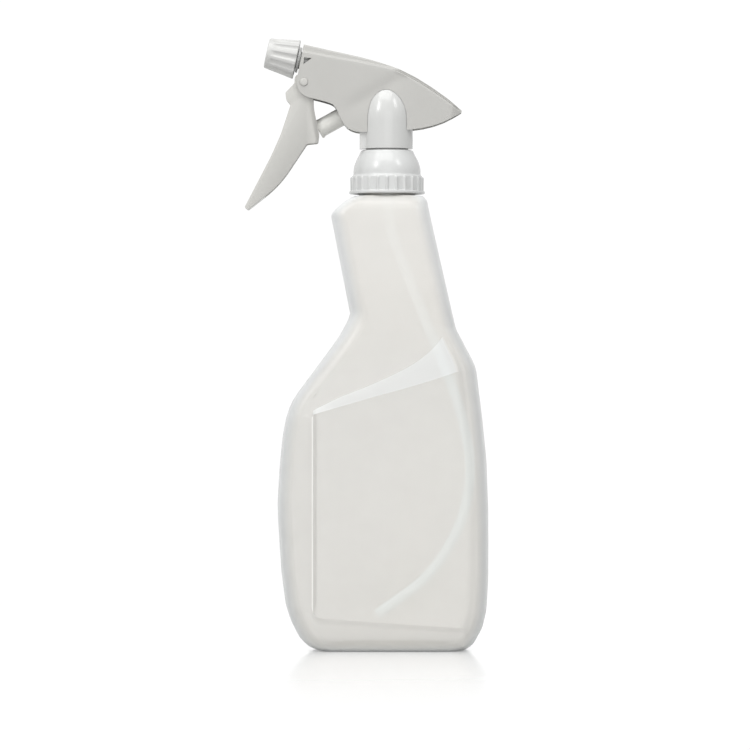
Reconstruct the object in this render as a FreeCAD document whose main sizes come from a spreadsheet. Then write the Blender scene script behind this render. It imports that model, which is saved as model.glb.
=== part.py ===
import FreeCAD, Part
import math
import os

import Sketcher

# Trigger spray bottle with a screw-on pump head.
# Millimetres, +Z up. The origin is on the standing surface, under the neck axis; the nozzle points to -X
# and the object is symmetric about the plane Y = 0.

# ---------------------------------------------------------------------------------------------------
# Driving dimensions
# ---------------------------------------------------------------------------------------------------

# Bottle stations: height above the group's own datum, reach to the front (-X) and to the rear (+X),
# half depth and corner radius of a rounded rectangle.
BELLY_STATIONS = {
    "sole": (0.0, 31.0, 35.0, 20.5, 10.0),
    "toe": (2.0, 36.0, 38.5, 24.0, 10.0),
    "heel": (6.0, 39.7, 40.6, 26.0, 10.0),
    "ankle": (14.0, 43.5, 44.0, 27.2, 10.0),
    "calf": (34.0, 47.3, 45.6, 27.4, 10.0),
    "waist": (63.5, 49.1, 45.6, 27.4, 10.0),
    "chest": (96.0, 46.8, 43.5, 27.4, 10.0),
}
SHOULDER_STATIONS = {
    "shoulder": (0.0, 45.3, 42.7, 27.4, 10.0),
    "slope_foot": (9.5, 41.2, 41.7, 26.6, 9.5),
    "slope_rear": (20.7, 33.1, 40.1, 25.6, 9.0),
    "slope_top": (35.0, 22.6, 33.3, 24.4, 8.5),
    "nape": (42.0, 17.7, 30.3, 23.8, 8.0),
    "grip_foot": (47.0, 16.7, 29.3, 23.3, 8.0),
}
GRIP_STATIONS = {
    "grip_top": (0.0, 24.8, 19.3, 19.5, 8.0),
    "brow": (3.6, 22.5, 18.4, 19.2, 8.0),
    "temple": (7.0, 18.5, 17.5, 18.0, 8.0),
    "crown": (8.7, 15.0, 17.1, 16.5, 8.0),
}

SIZES = {
    # bottle
    "belly_height": 104.0,
    "shoulder_height": 47.0,
    "grip_height": 43.9,
    "bottle_wall": 1.2,
    "bottle_floor": 1.6,
    "panel_half_depth": 28.0,
    "panel_front": 33.0,
    "panel_rear": 35.0,
    "panel_foot": 9.5,
    "panel_corner": 8.0,
    "panel_rise": 19.0,
    # neck finish
    "neck_radius": 12.5,
    "neck_wall": 1.75,
    "neck_height": 10.9,
    "thread_depth": 1.15,
    "thread_pitch": 4.23,
    "thread_start": 4.4,
    "thread_turns": 1.25,
    "thread_root": 2.0,
    "thread_crest": 0.9,
    "thread_clearance": 0.3,
    # collar
    "collar_lift": 1.1,
    "collar_flange_wall": 3.1,
    "collar_flange_height": 1.3,
    "collar_band_wall": 1.95,
    "collar_band_height": 7.8,
    "collar_rib_depth": 0.6,
    "collar_rib_width": 1.2,
    "collar_rib_count": 24,
    "collar_dome_wall": 1.1,
    "collar_dome_lip": 1.8,
    "collar_dome_step": 1.7,
    "collar_dome_height": 8.8,
    "collar_bearing_gap": 0.2,
    # gasket, inlet seat and dip tube
    "seal_gap": 0.05,
    "gasket_height": 1.5,
    "gasket_reach": 0.7,
    "seat_flange_reach": 0.8,
    "seat_flange_height": 2.0,
    "seat_skirt_wall": 1.0,
    "seat_skirt_height": 2.5,
    "socket_wall": 1.35,
    "socket_depth": 9.0,
    "tube_radius": 2.25,
    "tube_bore": 1.5,
    "press_gap": 0.02,
    "valve_ball_radius": 2.4,
    "valve_port_radius": 1.7,
    "valve_chamber_radius": 3.1,
    "valve_seat_rise": 0.8,
    "valve_ball_gap": 0.12,
    "valve_lift": 1.2,
    # pump body
    "sleeve_radius": 11.6,
    "sleeve_height": 12.6,
    "sleeve_dome_height": 17.4,
    "sleeve_clearance": 0.7,
    "stem_radius": 9.6,
    "stem_bore": 7.9,
    "running_gap": 0.3,
    "spine_reach": 12.3,
    "spine_width": 13.0,
    "spine_height": 7.6,
    "channel_radius": 1.2,
    "inlet_channel_offset": 4.5,
    "outlet_channel_offset": 8.0,
    "cylinder_start": 11.5,
    "cylinder_bore": 5.2,
    "cylinder_wall": 1.2,
    "cylinder_depth": 17.0,
    "cylinder_end": 1.5,
    "web_thickness": 3.0,
    # pump axis: outer end of the piston, and its slope above the horizontal
    "pump_reach": 31.0,
    "pump_height": 30.1,
    "pump_slope": 29.0,
    "rod_radius": 4.1,
    "rod_bore": 3.1,
    "rod_flange_radius": 4.5,
    "rod_flange_height": 1.25,
    "rod_cap": 3.0,
    "rod_length": 17.5,
    "seal_height": 1.5,
    "seal_running_gap": 0.04,
    "spring_radius": 2.75,
    "spring_wire": 0.35,
    "spring_turns": 9,
    # barrel and nozzle axis: rear face of the nozzle cap, and its slope above the horizontal
    "nozzle_reach": 40.6,
    "nozzle_height": 61.6,
    "nozzle_slope": 12.45,
    "barrel_radius": 4.0,
    "barrel_bore": 2.4,
    "barrel_tail": 42.0,
    "barrel_nose": 10.2,
    "barrel_bore_depth": 36.0,
    "barrel_ring_reach": 1.8,
    "barrel_ring_height": 0.9,
    "barrel_ring_gap": 0.4,
    "nozzle_thread_depth": 0.8,
    "nozzle_thread_pitch": 1.6,
    "nozzle_thread_start": 1.6,
    "nozzle_thread_turns": 2.0,
    "nozzle_thread_root": 0.7,
    "nozzle_thread_crest": 0.3,
    "outlet_seat_start": 29.0,
    "outlet_seat_height": 3.0,
    "outlet_port_radius": 1.1,
    "outlet_ball_radius": 1.9,
    "swirl_stem_radius": 1.5,
    "swirl_stem_tail": 20.5,
    "swirl_head_height": 1.6,
    "nozzle_rear_radius": 8.95,
    "nozzle_front_radius": 6.8,
    "nozzle_length": 13.8,
    "nozzle_bore_length": 10.6,
    "nozzle_chamber_radius": 3.4,
    "nozzle_flute_radius": 2.0,
    "nozzle_flute_reach": 9.3,
    "nozzle_flute_count": 12,
    "nozzle_dish_radius": 4.6,
    "nozzle_dish_depth": 0.6,
    "oring_wire": 0.5,
    "oring_place": 7.6,
    "orifice_radius": 0.4,
    "orifice_height": 1.0,
    # shroud
    "shroud_clearance": 0.3,
    "ridge_step": 1.8,
    "ridge_clearance": 3.6,
    "ridge_knee_height": 59.4,
    "ridge_rear_height": 51.6,
    "shroud_wall": 1.1,
    "shroud_gap": 0.2,
    # trigger
    "pivot_reach": 37.3,
    "pivot_height": 51.1,
    "pivot_radius": 1.8,
    "pivot_clearance": 0.05,
    "stud_proud": 0.5,
    "trigger_half_width": 6.3,
    "trigger_wall": 1.3,
    "trigger_ear_radius": 4.3,
    "push_bar_radius": 1.2,
    "push_bar_gap": 0.12,
}

for group, stations in (("belly", BELLY_STATIONS), ("shoulder", SHOULDER_STATIONS), ("grip", GRIP_STATIONS)):
    for station, numbers in stations.items():
        for what, number in zip(("rise", "front", "rear", "half", "corner"), numbers):
            SIZES[f"{station}_{what}"] = number

doc = FreeCAD.newDocument("spray_bottle")
sheet = doc.addObject("Spreadsheet::Sheet", "sizes")
for row, (alias, number) in enumerate(SIZES.items(), start=1):
    sheet.set(f"A{row}", alias)
    sheet.set(f"B{row}", str(number))
    sheet.setAlias(f"B{row}", alias)
doc.recompute()


# ---------------------------------------------------------------------------------------------------
# Sizes, placements and sketches
# ---------------------------------------------------------------------------------------------------

class Size:
    """A number together with the sheet expression that it comes from."""

    def __init__(self, value, text):
        self.value, self.text = float(value), text

    @staticmethod
    def of(thing):
        return thing if isinstance(thing, Size) else Size(thing, repr(float(thing)))

    def __add__(self, other):
        other = Size.of(other)
        return Size(self.value + other.value, f"({self.text} + {other.text})")

    def __sub__(self, other):
        other = Size.of(other)
        return Size(self.value - other.value, f"({self.text} - {other.text})")

    def __mul__(self, other):
        other = Size.of(other)
        return Size(self.value * other.value, f"({self.text} * {other.text})")

    def __truediv__(self, other):
        other = Size.of(other)
        return Size(self.value / other.value, f"({self.text} / {other.text})")

    def __neg__(self):
        return Size(-self.value, f"(0 - {self.text})")

    def __radd__(self, other):
        return Size.of(other) + self

    def __rsub__(self, other):
        return Size.of(other) - self

    def __rmul__(self, other):
        return Size.of(other) * self


class Sheet:
    """Gives each cell of the spreadsheet as a Size, by its alias."""

    def __getattr__(self, alias):
        return Size(float(sheet.get(alias)), f"sizes.{alias}")


S = Sheet()


def sine(angle):
    return Size(math.sin(math.radians(angle.value)), f"sin({angle.text})")


def cosine(angle):
    return Size(math.cos(math.radians(angle.value)), f"cos({angle.text})")


def root(size):
    return Size(math.sqrt(size.value), f"sqrt({size.text})")


def bind(thing, **properties):
    """Sets properties to their sizes and ties them to the sheet."""
    for name, size in properties.items():
        size = Size.of(size)
        counted = isinstance(getattr(thing, name), int)
        setattr(thing, name, round(size.value) if counted else size.value)
        if "sizes." in size.text:
            thing.setExpression(name, size.text)


class Axis:
    """A line in the plane Y = 0 that pieces are built along: its start, and its lean from the vertical."""

    def __init__(self, x, z, lean, forward):
        self.x, self.z, self.lean, self.forward = Size.of(x), Size.of(z), lean, forward

    def point(self, along, across=0):
        """The X and Z of a point along the axis, and across it towards the upper side."""
        along, across = Size.of(along), Size.of(across)
        if self.lean is None:
            return self.x + across, self.z + along
        side = -1 if self.forward else 1
        x = self.x + (along * sine(self.lean) - across * cosine(self.lean)) * side
        return x, self.z + along * cosine(self.lean) + across * sine(self.lean)

    def place(self, thing, along=0):
        x, z = self.point(along)
        turn = FreeCAD.Rotation()
        if self.lean is not None:
            turn = FreeCAD.Rotation(FreeCAD.Vector(0, -1 if self.forward else 1, 0), self.lean.value)
        thing.Placement = FreeCAD.Placement(FreeCAD.Vector(x.value, 0, z.value), turn)
        thing.setExpression("Placement.Base.x", x.text)
        thing.setExpression("Placement.Base.z", z.text)
        if self.lean is not None:
            thing.setExpression("Placement.Rotation.Angle", self.lean.text)
        return thing


def new_body(name, axis=None):
    body = doc.addObject("PartDesign::Body", name)
    body.Label = name
    if axis:
        axis.place(body)
    return body


def origin_plane(body, plane):
    return next(item for item in body.Origin.OriginFeatures if item.Role == plane)


def new_sketch(body, name, plane, offset=None):
    sketch = body.newObject("Sketcher::SketchObject", name)
    sketch.AttachmentSupport = (origin_plane(body, plane), [""])
    sketch.MapMode = "FlatFace"
    if offset is not None:
        offset = Size.of(offset)
        sketch.AttachmentOffset = FreeCAD.Placement(FreeCAD.Vector(0, 0, offset.value), FreeCAD.Rotation())
        sketch.setExpression("AttachmentOffset.Base.z", offset.text)
    return sketch


def constrain(sketch, *arguments):
    """Adds one constraint; a Size as its last argument is tied to the sheet."""
    if not isinstance(arguments[-1], Size):
        return sketch.addConstraint(Sketcher.Constraint(*arguments))
    size = arguments[-1]
    index = sketch.addConstraint(Sketcher.Constraint(*arguments[:-1], size.value))
    if "sizes." in size.text:
        sketch.setExpression(f"Constraints[{index}]", size.text)
    return index


def pin(sketch, element, point, x, y):
    """Holds a point of a sketch at its distances from the sketch's origin."""
    constrain(sketch, "DistanceX", -1, 1, element, point, Size.of(x))
    constrain(sketch, "DistanceY", -1, 1, element, point, Size.of(y))


def draw_outline(sketch, corners, closed=True):
    """Draws a run of straight lines through corners (x, y) or (x, y, radius), rounded by tangent arcs."""
    count = len(corners)
    points = [FreeCAD.Vector(Size.of(c[0]).value, Size.of(c[1]).value, 0) for c in corners]
    arrive, leave, arcs = list(points), list(points), {}
    for i, corner in enumerate(corners):
        if len(corner) < 3:
            continue
        back = (points[i - 1] - points[i]).normalize()
        ahead = (points[(i + 1) % count] - points[i]).normalize()
        half = back.getAngle(ahead) / 2
        radius = Size.of(corner[2]).value
        arrive[i] = points[i] + back * (radius / math.tan(half))
        leave[i] = points[i] + ahead * (radius / math.tan(half))
        centre = points[i] + (back + ahead).normalize() * (radius / math.sin(half))
        middle = centre + (points[i] - centre).normalize() * radius
        arc = sketch.addGeometry(Part.Arc(arrive[i], middle, leave[i]), False)
        counterclockwise = back.cross(ahead).z < 0
        arcs[i] = (arc, 1, 2) if counterclockwise else (arc, 2, 1)
    lines = []
    for i in range(count if closed else count - 1):
        lines.append(sketch.addGeometry(Part.LineSegment(leave[i], arrive[(i + 1) % count]), False))
    for i, corner in enumerate(corners):
        before = lines[i - 1] if closed or i > 0 else None
        after = lines[i] if closed or i < count - 1 else None
        if i in arcs:
            arc, start, end = arcs[i]
            corner_point = sketch.addGeometry(Part.Point(points[i]), True)
            pin(sketch, corner_point, 1, corner[0], corner[1])
            constrain(sketch, "Tangent", before, 2, arc, start)
            constrain(sketch, "Tangent", arc, end, after, 1)
            constrain(sketch, "PointOnObject", corner_point, 1, before)
            constrain(sketch, "PointOnObject", corner_point, 1, after)
            constrain(sketch, "Radius", arc, Size.of(corner[2]))
        elif before is None or after is None:
            line, end = (after, 1) if before is None else (before, 2)
            pin(sketch, line, end, corner[0], corner[1])
        else:
            constrain(sketch, "Coincident", before, 2, after, 1)
            pin(sketch, after, 1, corner[0], corner[1])
    return sketch


def outline(body, name, plane, corners, offset=None, closed=True):
    return draw_outline(new_sketch(body, name, plane, offset), corners, closed)


def draw_circle(sketch, x, y, radius):
    x, y, radius = Size.of(x), Size.of(y), Size.of(radius)
    centre = FreeCAD.Vector(x.value, y.value, 0)
    circle = sketch.addGeometry(Part.Circle(centre, FreeCAD.Vector(0, 0, 1), radius.value), False)
    pin(sketch, circle, 3, x, y)
    constrain(sketch, "Radius", circle, radius)
    return sketch


def feature(body, kind, name, sketch, **properties):
    made = body.newObject(f"PartDesign::{kind}", name)
    made.Profile = sketch
    bind(made, **properties)
    return made


def revolve(body, name, corners, cut=False):
    """Turns an outline in the body's XZ plane about the body's own Z axis."""
    sketch = outline(body, f"{name}_outline", "XZ_Plane", corners)
    made = feature(body, "Groove" if cut else "Revolution", name, sketch, Angle=360)
    made.ReferenceAxis = (sketch, ["V_Axis"])
    return made


def extrude(body, name, corners, width, cut=False, plane="XZ_Plane"):
    """Pads or pockets an outline to both sides of its plane."""
    sketch = outline(body, f"{name}_outline", plane, corners)
    made = feature(body, "Pocket" if cut else "Pad", name, sketch, Length=width)
    made.SideType = "Symmetric"
    return made


def add_thread(body, name, wall, depth, start, turns, pitch, root_width, crest_width, inside):
    """Adds a helical ridge of trapezoid section to a round wall, outside it or inside it."""
    overlap = 0.1
    foot = wall + overlap if inside else wall - overlap
    tip = wall - depth if inside else wall + depth
    corners = [
        (foot, start - root_width / 2),
        (tip, start - crest_width / 2),
        (tip, start + crest_width / 2),
        (foot, start + root_width / 2),
    ]
    sketch = outline(body, f"{name}_outline", "XZ_Plane", corners)
    helix = feature(body, "AdditiveHelix", name, sketch)
    helix.ReferenceAxis = (sketch, ["V_Axis"])
    helix.Mode = "pitch-height-angle"
    bind(helix, Pitch=pitch, Height=pitch * turns)
    return helix


def primitive(body, kind, name, height, **sizes):
    """Adds a PartDesign primitive that stands on the body's own Z axis."""
    made = body.newObject(f"PartDesign::{kind}", name)
    made.AttachmentSupport = (origin_plane(body, "XY_Plane"), [""])
    made.MapMode = "FlatFace"
    height = Size.of(height)
    made.AttachmentOffset = FreeCAD.Placement(FreeCAD.Vector(0, 0, height.value), FreeCAD.Rotation())
    made.setExpression("AttachmentOffset.Base.z", height.text)
    bind(made, **sizes)
    return made


def cylinder(name, axis, along, length, radius):
    made = doc.addObject("Part::Cylinder", name)
    bind(made, Radius=radius, Height=length)
    return axis.place(made, along)


def combine(kind, name, pieces):
    """Fuses pieces, or cuts the second from the first."""
    made = doc.addObject(f"Part::{kind}", name)
    if kind == "MultiFuse":
        made.Shapes = pieces
    else:
        made.Base, made.Tool = pieces
    made.Label = name
    return made


# ---------------------------------------------------------------------------------------------------
# Datums that pieces share
# ---------------------------------------------------------------------------------------------------

grip_datum = S.belly_height + S.shoulder_height + S.grip_height
crown = grip_datum + S.crown_rise
thread_radius = S.neck_radius + S.thread_depth
neck_bore = S.neck_radius - S.neck_wall
collar_bore = thread_radius + S.thread_clearance
gasket_foot = S.neck_height + S.seal_gap
flange_foot = gasket_foot + S.gasket_height
flange_top = flange_foot + S.seat_flange_height
collar_band_foot = S.collar_lift + S.collar_flange_height
collar_band_top = collar_band_foot + S.collar_band_height
collar_dome_base = collar_band_top + S.collar_dome_step
collar_top = collar_dome_base + S.collar_dome_height
sleeve_foot = collar_top + S.sleeve_clearance
sleeve_shoulder = sleeve_foot + S.sleeve_height
valve_seat = flange_foot + S.valve_seat_rise
ball_rise = root(S.valve_ball_radius * S.valve_ball_radius - S.valve_port_radius * S.valve_port_radius)
ball_height = valve_seat + ball_rise + S.valve_ball_gap
# the pump body's ceiling over the seat stops the lifted ball
plug_top = ball_height + S.valve_ball_radius + S.valve_lift
pump_lean = 90 - S.pump_slope
nozzle_lean = 90 - S.nozzle_slope
cylinder_radius = S.cylinder_bore + S.cylinder_wall
shroud_half = cylinder_radius + S.shroud_clearance + S.shroud_wall

# the neck axis starts at the bottle's crown; the pump and nozzle axes are placed from the same point
neck = Axis(0, crown, None, False)
pump = Axis(-S.pump_reach, crown + S.pump_height, pump_lean, False)
nozzle = Axis(-S.nozzle_reach, crown + S.nozzle_height, nozzle_lean, True)
# the same line in the head's own coordinates, whose zero height is the crown
nozzle_local = Axis(-S.nozzle_reach, S.nozzle_height, nozzle_lean, True)


# ---------------------------------------------------------------------------------------------------
# Bottle: blow-moulded, with a round threaded neck
# ---------------------------------------------------------------------------------------------------

def station_sketch(body, name, station, height, inset):
    """A rounded rectangle at one height of the bottle, drawn in from the outside by the wall."""
    front = -getattr(S, f"{station}_front") + inset
    rear = getattr(S, f"{station}_rear") - inset
    half = getattr(S, f"{station}_half") - inset
    corner = getattr(S, f"{station}_corner") - inset
    corners = [(front, -half, corner), (rear, -half, corner), (rear, half, corner), (front, half, corner)]
    return outline(body, name, "XY_Plane", corners, offset=height)


def bottle_loft(body, name, kind, inset):
    """Lofts straight between the stations; the inside starts above the floor and stops at the crown."""
    sketches = []
    inside = kind == "SubtractiveLoft"
    for datum, stations in (
        (Size.of(0), BELLY_STATIONS),
        (S.belly_height, SHOULDER_STATIONS),
        (grip_datum, GRIP_STATIONS),
    ):
        for station in stations:
            height = datum + getattr(S, f"{station}_rise")
            if inside and station == "sole":
                height = height + S.bottle_floor
            if inside and station == "toe":
                height = height + S.bottle_floor
            if inside and station == "crown":
                height = height - S.bottle_wall
            sketches.append(station_sketch(body, f"{name}_{station}", station, height, inset))
    loft = body.newObject(f"PartDesign::{kind}", name)
    loft.Profile = sketches[0]
    loft.Sections = [(sketch, [""]) for sketch in sketches[1:]]
    loft.Ruled = True
    return loft


bottle = new_body("bottle")
bottle_loft(bottle, "bottle_outside", "AdditiveLoft", Size.of(0))
extrude(bottle, "label_panels", [
    (-S.panel_front, S.panel_foot + 3, S.panel_corner),
    (S.panel_rear, S.panel_foot, 4),
    (S.panel_rear, S.belly_height + S.panel_rise, 2),
    (-S.panel_front, S.belly_height, 4),
], S.panel_half_depth * 2)
neck_outside = outline(bottle, "neck_outline", "XZ_Plane", [
    (0, crown - 3), (S.neck_radius, crown - 3), (S.neck_radius, crown + S.neck_height, 0.5),
    (0, crown + S.neck_height),
])
neck_turn = feature(bottle, "Revolution", "neck_outside", neck_outside, Angle=360)
neck_turn.ReferenceAxis = (neck_outside, ["V_Axis"])
bottle_loft(bottle, "bottle_inside", "SubtractiveLoft", S.bottle_wall)
revolve(bottle, "neck_bore", [
    (0, crown - 8), (neck_bore, crown - 8), (neck_bore, crown + S.neck_height + 1),
    (0, crown + S.neck_height + 1),
], cut=True)
add_thread(bottle, "neck_thread", S.neck_radius, S.thread_depth, crown + S.thread_start,
           S.thread_turns, S.thread_pitch, S.thread_root, S.thread_crest, inside=False)


# ---------------------------------------------------------------------------------------------------
# Collar: ribbed screw cap that turns on the neck and on the pump stem
# ---------------------------------------------------------------------------------------------------

collar = new_body("collar", neck)
collar_hole = S.stem_radius + S.running_gap
flange_radius = collar_bore + S.collar_flange_wall
band_radius = collar_bore + S.collar_band_wall
dome_foot = collar_bore + S.collar_dome_wall
revolve(collar, "collar_shell", [
    (collar_bore, S.collar_lift),
    (flange_radius, S.collar_lift, 0.4),
    (flange_radius, collar_band_foot, 0.4),
    (band_radius, collar_band_foot),
    (band_radius, collar_band_top + 0.6, 0.5),
    (dome_foot, collar_dome_base),
    (dome_foot - 0.2, collar_dome_base + 5.6, 7),
    (collar_hole + S.collar_dome_lip, collar_top, 0.5),
    (collar_hole, collar_top),
    (collar_hole, flange_top + S.collar_bearing_gap),
    (collar_bore, flange_top + S.collar_bearing_gap),
])
rib_reach = band_radius + S.collar_rib_depth
collar_rib = extrude(collar, "collar_rib", [
    (band_radius - 0.5, collar_band_foot - 0.1),
    (rib_reach - 0.3, collar_band_foot - 0.1),
    (rib_reach, collar_band_top - 0.8),
    (rib_reach - 0.4, collar_band_top),
    (band_radius - 0.5, collar_band_top),
], S.collar_rib_width)
collar_ribs = collar.newObject("PartDesign::PolarPattern", "collar_ribs")
collar_ribs.Originals = [collar_rib]
collar_ribs.Axis = (origin_plane(collar, "Z_Axis"), [""])
collar_ribs.Angle = 360
bind(collar_ribs, Occurrences=S.collar_rib_count)
collar.Tip = collar_ribs
add_thread(collar, "collar_thread", collar_bore, S.thread_depth, S.thread_start - S.thread_pitch / 2,
           S.thread_turns, S.thread_pitch, S.thread_root, S.thread_crest, inside=True)


# ---------------------------------------------------------------------------------------------------
# Gasket, inlet seat with its ball, and dip tube
# ---------------------------------------------------------------------------------------------------

gasket = new_body("neck_gasket", neck)
gasket_radius = S.neck_radius + S.gasket_reach
revolve(gasket, "gasket_ring", [
    (neck_bore, gasket_foot), (gasket_radius, gasket_foot),
    (gasket_radius, flange_foot), (neck_bore, flange_foot),
])

socket_radius = S.tube_radius + S.socket_wall
tube_bore_gap = S.tube_radius + S.press_gap
seat_plug_radius = S.stem_bore - S.press_gap
skirt_radius = neck_bore - S.running_gap
seat_flange_radius = S.neck_radius + S.seat_flange_reach
inlet_seat = new_body("inlet_seat", neck)
revolve(inlet_seat, "seat_body", [
    (tube_bore_gap, flange_foot - S.socket_depth),
    (socket_radius, flange_foot - S.socket_depth),
    (socket_radius, flange_foot - 0.4, 0.4),
    (skirt_radius - S.seat_skirt_wall, flange_foot - 0.4),
    (skirt_radius - S.seat_skirt_wall, flange_foot - S.seat_skirt_height),
    (skirt_radius, flange_foot - S.seat_skirt_height),
    (skirt_radius, flange_foot),
    (seat_flange_radius, flange_foot),
    (seat_flange_radius, flange_top),
    (seat_plug_radius, flange_top),
    (seat_plug_radius, plug_top),
    (S.valve_chamber_radius, plug_top),
    (S.valve_chamber_radius, valve_seat + 0.6),
    (S.valve_port_radius, valve_seat),
    (S.valve_port_radius, flange_foot - 1.2),
    (tube_bore_gap, flange_foot - 1.2),
])

inlet_ball = doc.addObject("Part::Sphere", "inlet_ball")
inlet_ball.Label = "inlet_ball"
bind(inlet_ball, Radius=S.valve_ball_radius)
neck.place(inlet_ball, ball_height)

# The dip tube leaves its socket straight down, leans to the rear wall and curls forward above the floor.
tube_top = flange_foot - 1.25
tube_route = [
    (0, crown + tube_top),
    (0, crown - 12),
    (15, S.belly_height + 50),
    (33, S.belly_height + 5),
    (38.2, 82),
    (34.5, 58),
    (20, 33),
    (-4.5, 15.6),
]


def tangent_radii(route):
    """For each inner point of a route, an arc as large as its two runs allow."""
    places = [FreeCAD.Vector(Size.of(x).value, 0, Size.of(z).value) for x, z in route]
    radii = []
    for before, point, after in zip(places, places[1:], places[2:]):
        back, ahead = before - point, after - point
        turn = math.pi - back.getAngle(ahead)
        radii.append(0.45 * min(back.Length, ahead.Length) / math.tan(turn / 2))
    return radii


dip_tube = new_body("dip_tube")
radii = tangent_radii(tube_route)
route_corners = [tube_route[0]]
route_corners += [(x, z, radius) for (x, z), radius in zip(tube_route[1:], radii)]
route_corners += [tube_route[-1]]
tube_path = outline(dip_tube, "tube_path", "XZ_Plane", route_corners, closed=False)
for kind, name, radius in (
    ("AdditivePipe", "tube_outside", S.tube_radius),
    ("SubtractivePipe", "tube_inside", S.tube_bore),
):
    section = draw_circle(new_sketch(dip_tube, f"{name}_section", "XY_Plane", crown + tube_top), 0, 0, radius)
    pipe = feature(dip_tube, kind, name, section)
    pipe.Spine = tube_path


# ---------------------------------------------------------------------------------------------------
# Pump body: sleeve, inclined cylinder, riser and barrel in one moulding
# ---------------------------------------------------------------------------------------------------

sleeve = cylinder("sleeve", neck, sleeve_foot, S.sleeve_height, S.sleeve_radius)
stem = cylinder("stem", neck, flange_top, sleeve_foot - flange_top + 1, S.stem_radius)
dome = doc.addObject("Part::Ellipsoid", "sleeve_dome")
dome.Angle1 = 0
bind(dome, Radius1=S.sleeve_dome_height, Radius2=S.sleeve_radius, Radius3=S.sleeve_radius)
neck.place(dome, sleeve_shoulder)

spine = doc.addObject("Part::Box", "sleeve_spine")
bind(spine, Length=S.spine_reach, Width=S.spine_width, Height=S.spine_height)
spine.Placement = FreeCAD.Placement(FreeCAD.Vector(-S.spine_reach.value, -S.spine_width.value / 2,
                                                   (crown + sleeve_foot).value), FreeCAD.Rotation())
spine.setExpression("Placement.Base.x", (-S.spine_reach).text)
spine.setExpression("Placement.Base.y", (-S.spine_width / 2).text)
spine.setExpression("Placement.Base.z", (crown + sleeve_foot).text)

pump_cylinder = cylinder("pump_cylinder", pump, S.cylinder_start, S.cylinder_depth + S.cylinder_end,
                         cylinder_radius)
barrel = cylinder("barrel", nozzle, -S.barrel_tail, S.barrel_tail + S.barrel_nose, S.barrel_radius)
barrel_ring = cylinder("barrel_ring", nozzle, -(S.barrel_ring_gap + S.barrel_ring_height),
                       S.barrel_ring_height, S.barrel_radius + S.barrel_ring_reach)

# a thin web ties the cylinder's upper side to the barrel's underside
web_body = new_body("web")
web_front = nozzle.point(-11.0)
web_rear = nozzle.point(-34.0)
mouth_top = pump.point(S.cylinder_start + 0.5, cylinder_radius - 0.4)
end_top = pump.point(S.cylinder_start + S.cylinder_depth, cylinder_radius - 0.4)
extrude(web_body, "web_plate", [mouth_top, end_top, web_rear, web_front], S.web_thickness)

pump_bore = cylinder("pump_bore", pump, S.cylinder_start - 1, S.cylinder_depth + 1, S.cylinder_bore)
stem_bore = cylinder("stem_bore", neck, flange_top - 1, plug_top - flange_top + 1 + S.seal_gap, S.stem_bore)
gallery = doc.addObject("Part::Box", "inlet_gallery")
bind(gallery, Length=S.inlet_channel_offset + S.channel_radius, Width=S.channel_radius * 2, Height=2.0)
gallery_z = crown + plug_top
gallery.Placement = FreeCAD.Placement(
    FreeCAD.Vector(-(S.inlet_channel_offset + S.channel_radius).value, -S.channel_radius.value,
                   gallery_z.value), FreeCAD.Rotation())
gallery.setExpression("Placement.Base.x", (-(S.inlet_channel_offset + S.channel_radius)).text)
gallery.setExpression("Placement.Base.y", (-S.channel_radius).text)
gallery.setExpression("Placement.Base.z", gallery_z.text)
# where the two upright channels meet the cylinder's far end and the barrel's axis
bore_foot = pump.point(S.cylinder_start + S.cylinder_depth, -S.cylinder_bore)
inlet_axis = Axis(-S.inlet_channel_offset, crown, None, False)
outlet_axis = Axis(-S.outlet_channel_offset, crown, None, False)
inlet_channel = cylinder("inlet_channel", inlet_axis, plug_top, bore_foot[1] - crown - plug_top + 1.2,
                         S.channel_radius)
barrel_over_outlet = S.nozzle_height - (S.nozzle_reach - S.outlet_channel_offset) * (
    sine(S.nozzle_slope) / cosine(S.nozzle_slope))
outlet_foot = pump.point(S.cylinder_start + S.cylinder_depth - 2.5, 0)[1] - crown
outlet_channel = cylinder("outlet_channel", outlet_axis, outlet_foot, barrel_over_outlet - outlet_foot,
                          S.channel_radius)
barrel_bore = cylinder("barrel_bore", nozzle, -S.barrel_bore_depth, S.barrel_bore_depth + S.barrel_nose + 1,
                       S.barrel_bore)

barrel_thread_body = new_body("barrel_thread", nozzle)
revolve(barrel_thread_body, "thread_core", [
    (S.barrel_bore, 0.5), (S.barrel_radius, 0.5),
    (S.barrel_radius, S.barrel_nose - 1), (S.barrel_bore, S.barrel_nose - 1),
])
add_thread(barrel_thread_body, "barrel_ridge", S.barrel_radius, S.nozzle_thread_depth, S.nozzle_thread_start,
           S.nozzle_thread_turns, S.nozzle_thread_pitch, S.nozzle_thread_root, S.nozzle_thread_crest,
           inside=False)

pump_solid = combine("MultiFuse", "pump_solid", [
    sleeve, stem, dome, spine, pump_cylinder, barrel, barrel_ring, web_body, barrel_thread_body,
])
pump_voids = combine("MultiFuse", "pump_voids", [
    pump_bore, stem_bore, gallery, inlet_channel, outlet_channel, barrel_bore,
])
pump_body = combine("Cut", "pump_body", [pump_solid, pump_voids])

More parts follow.
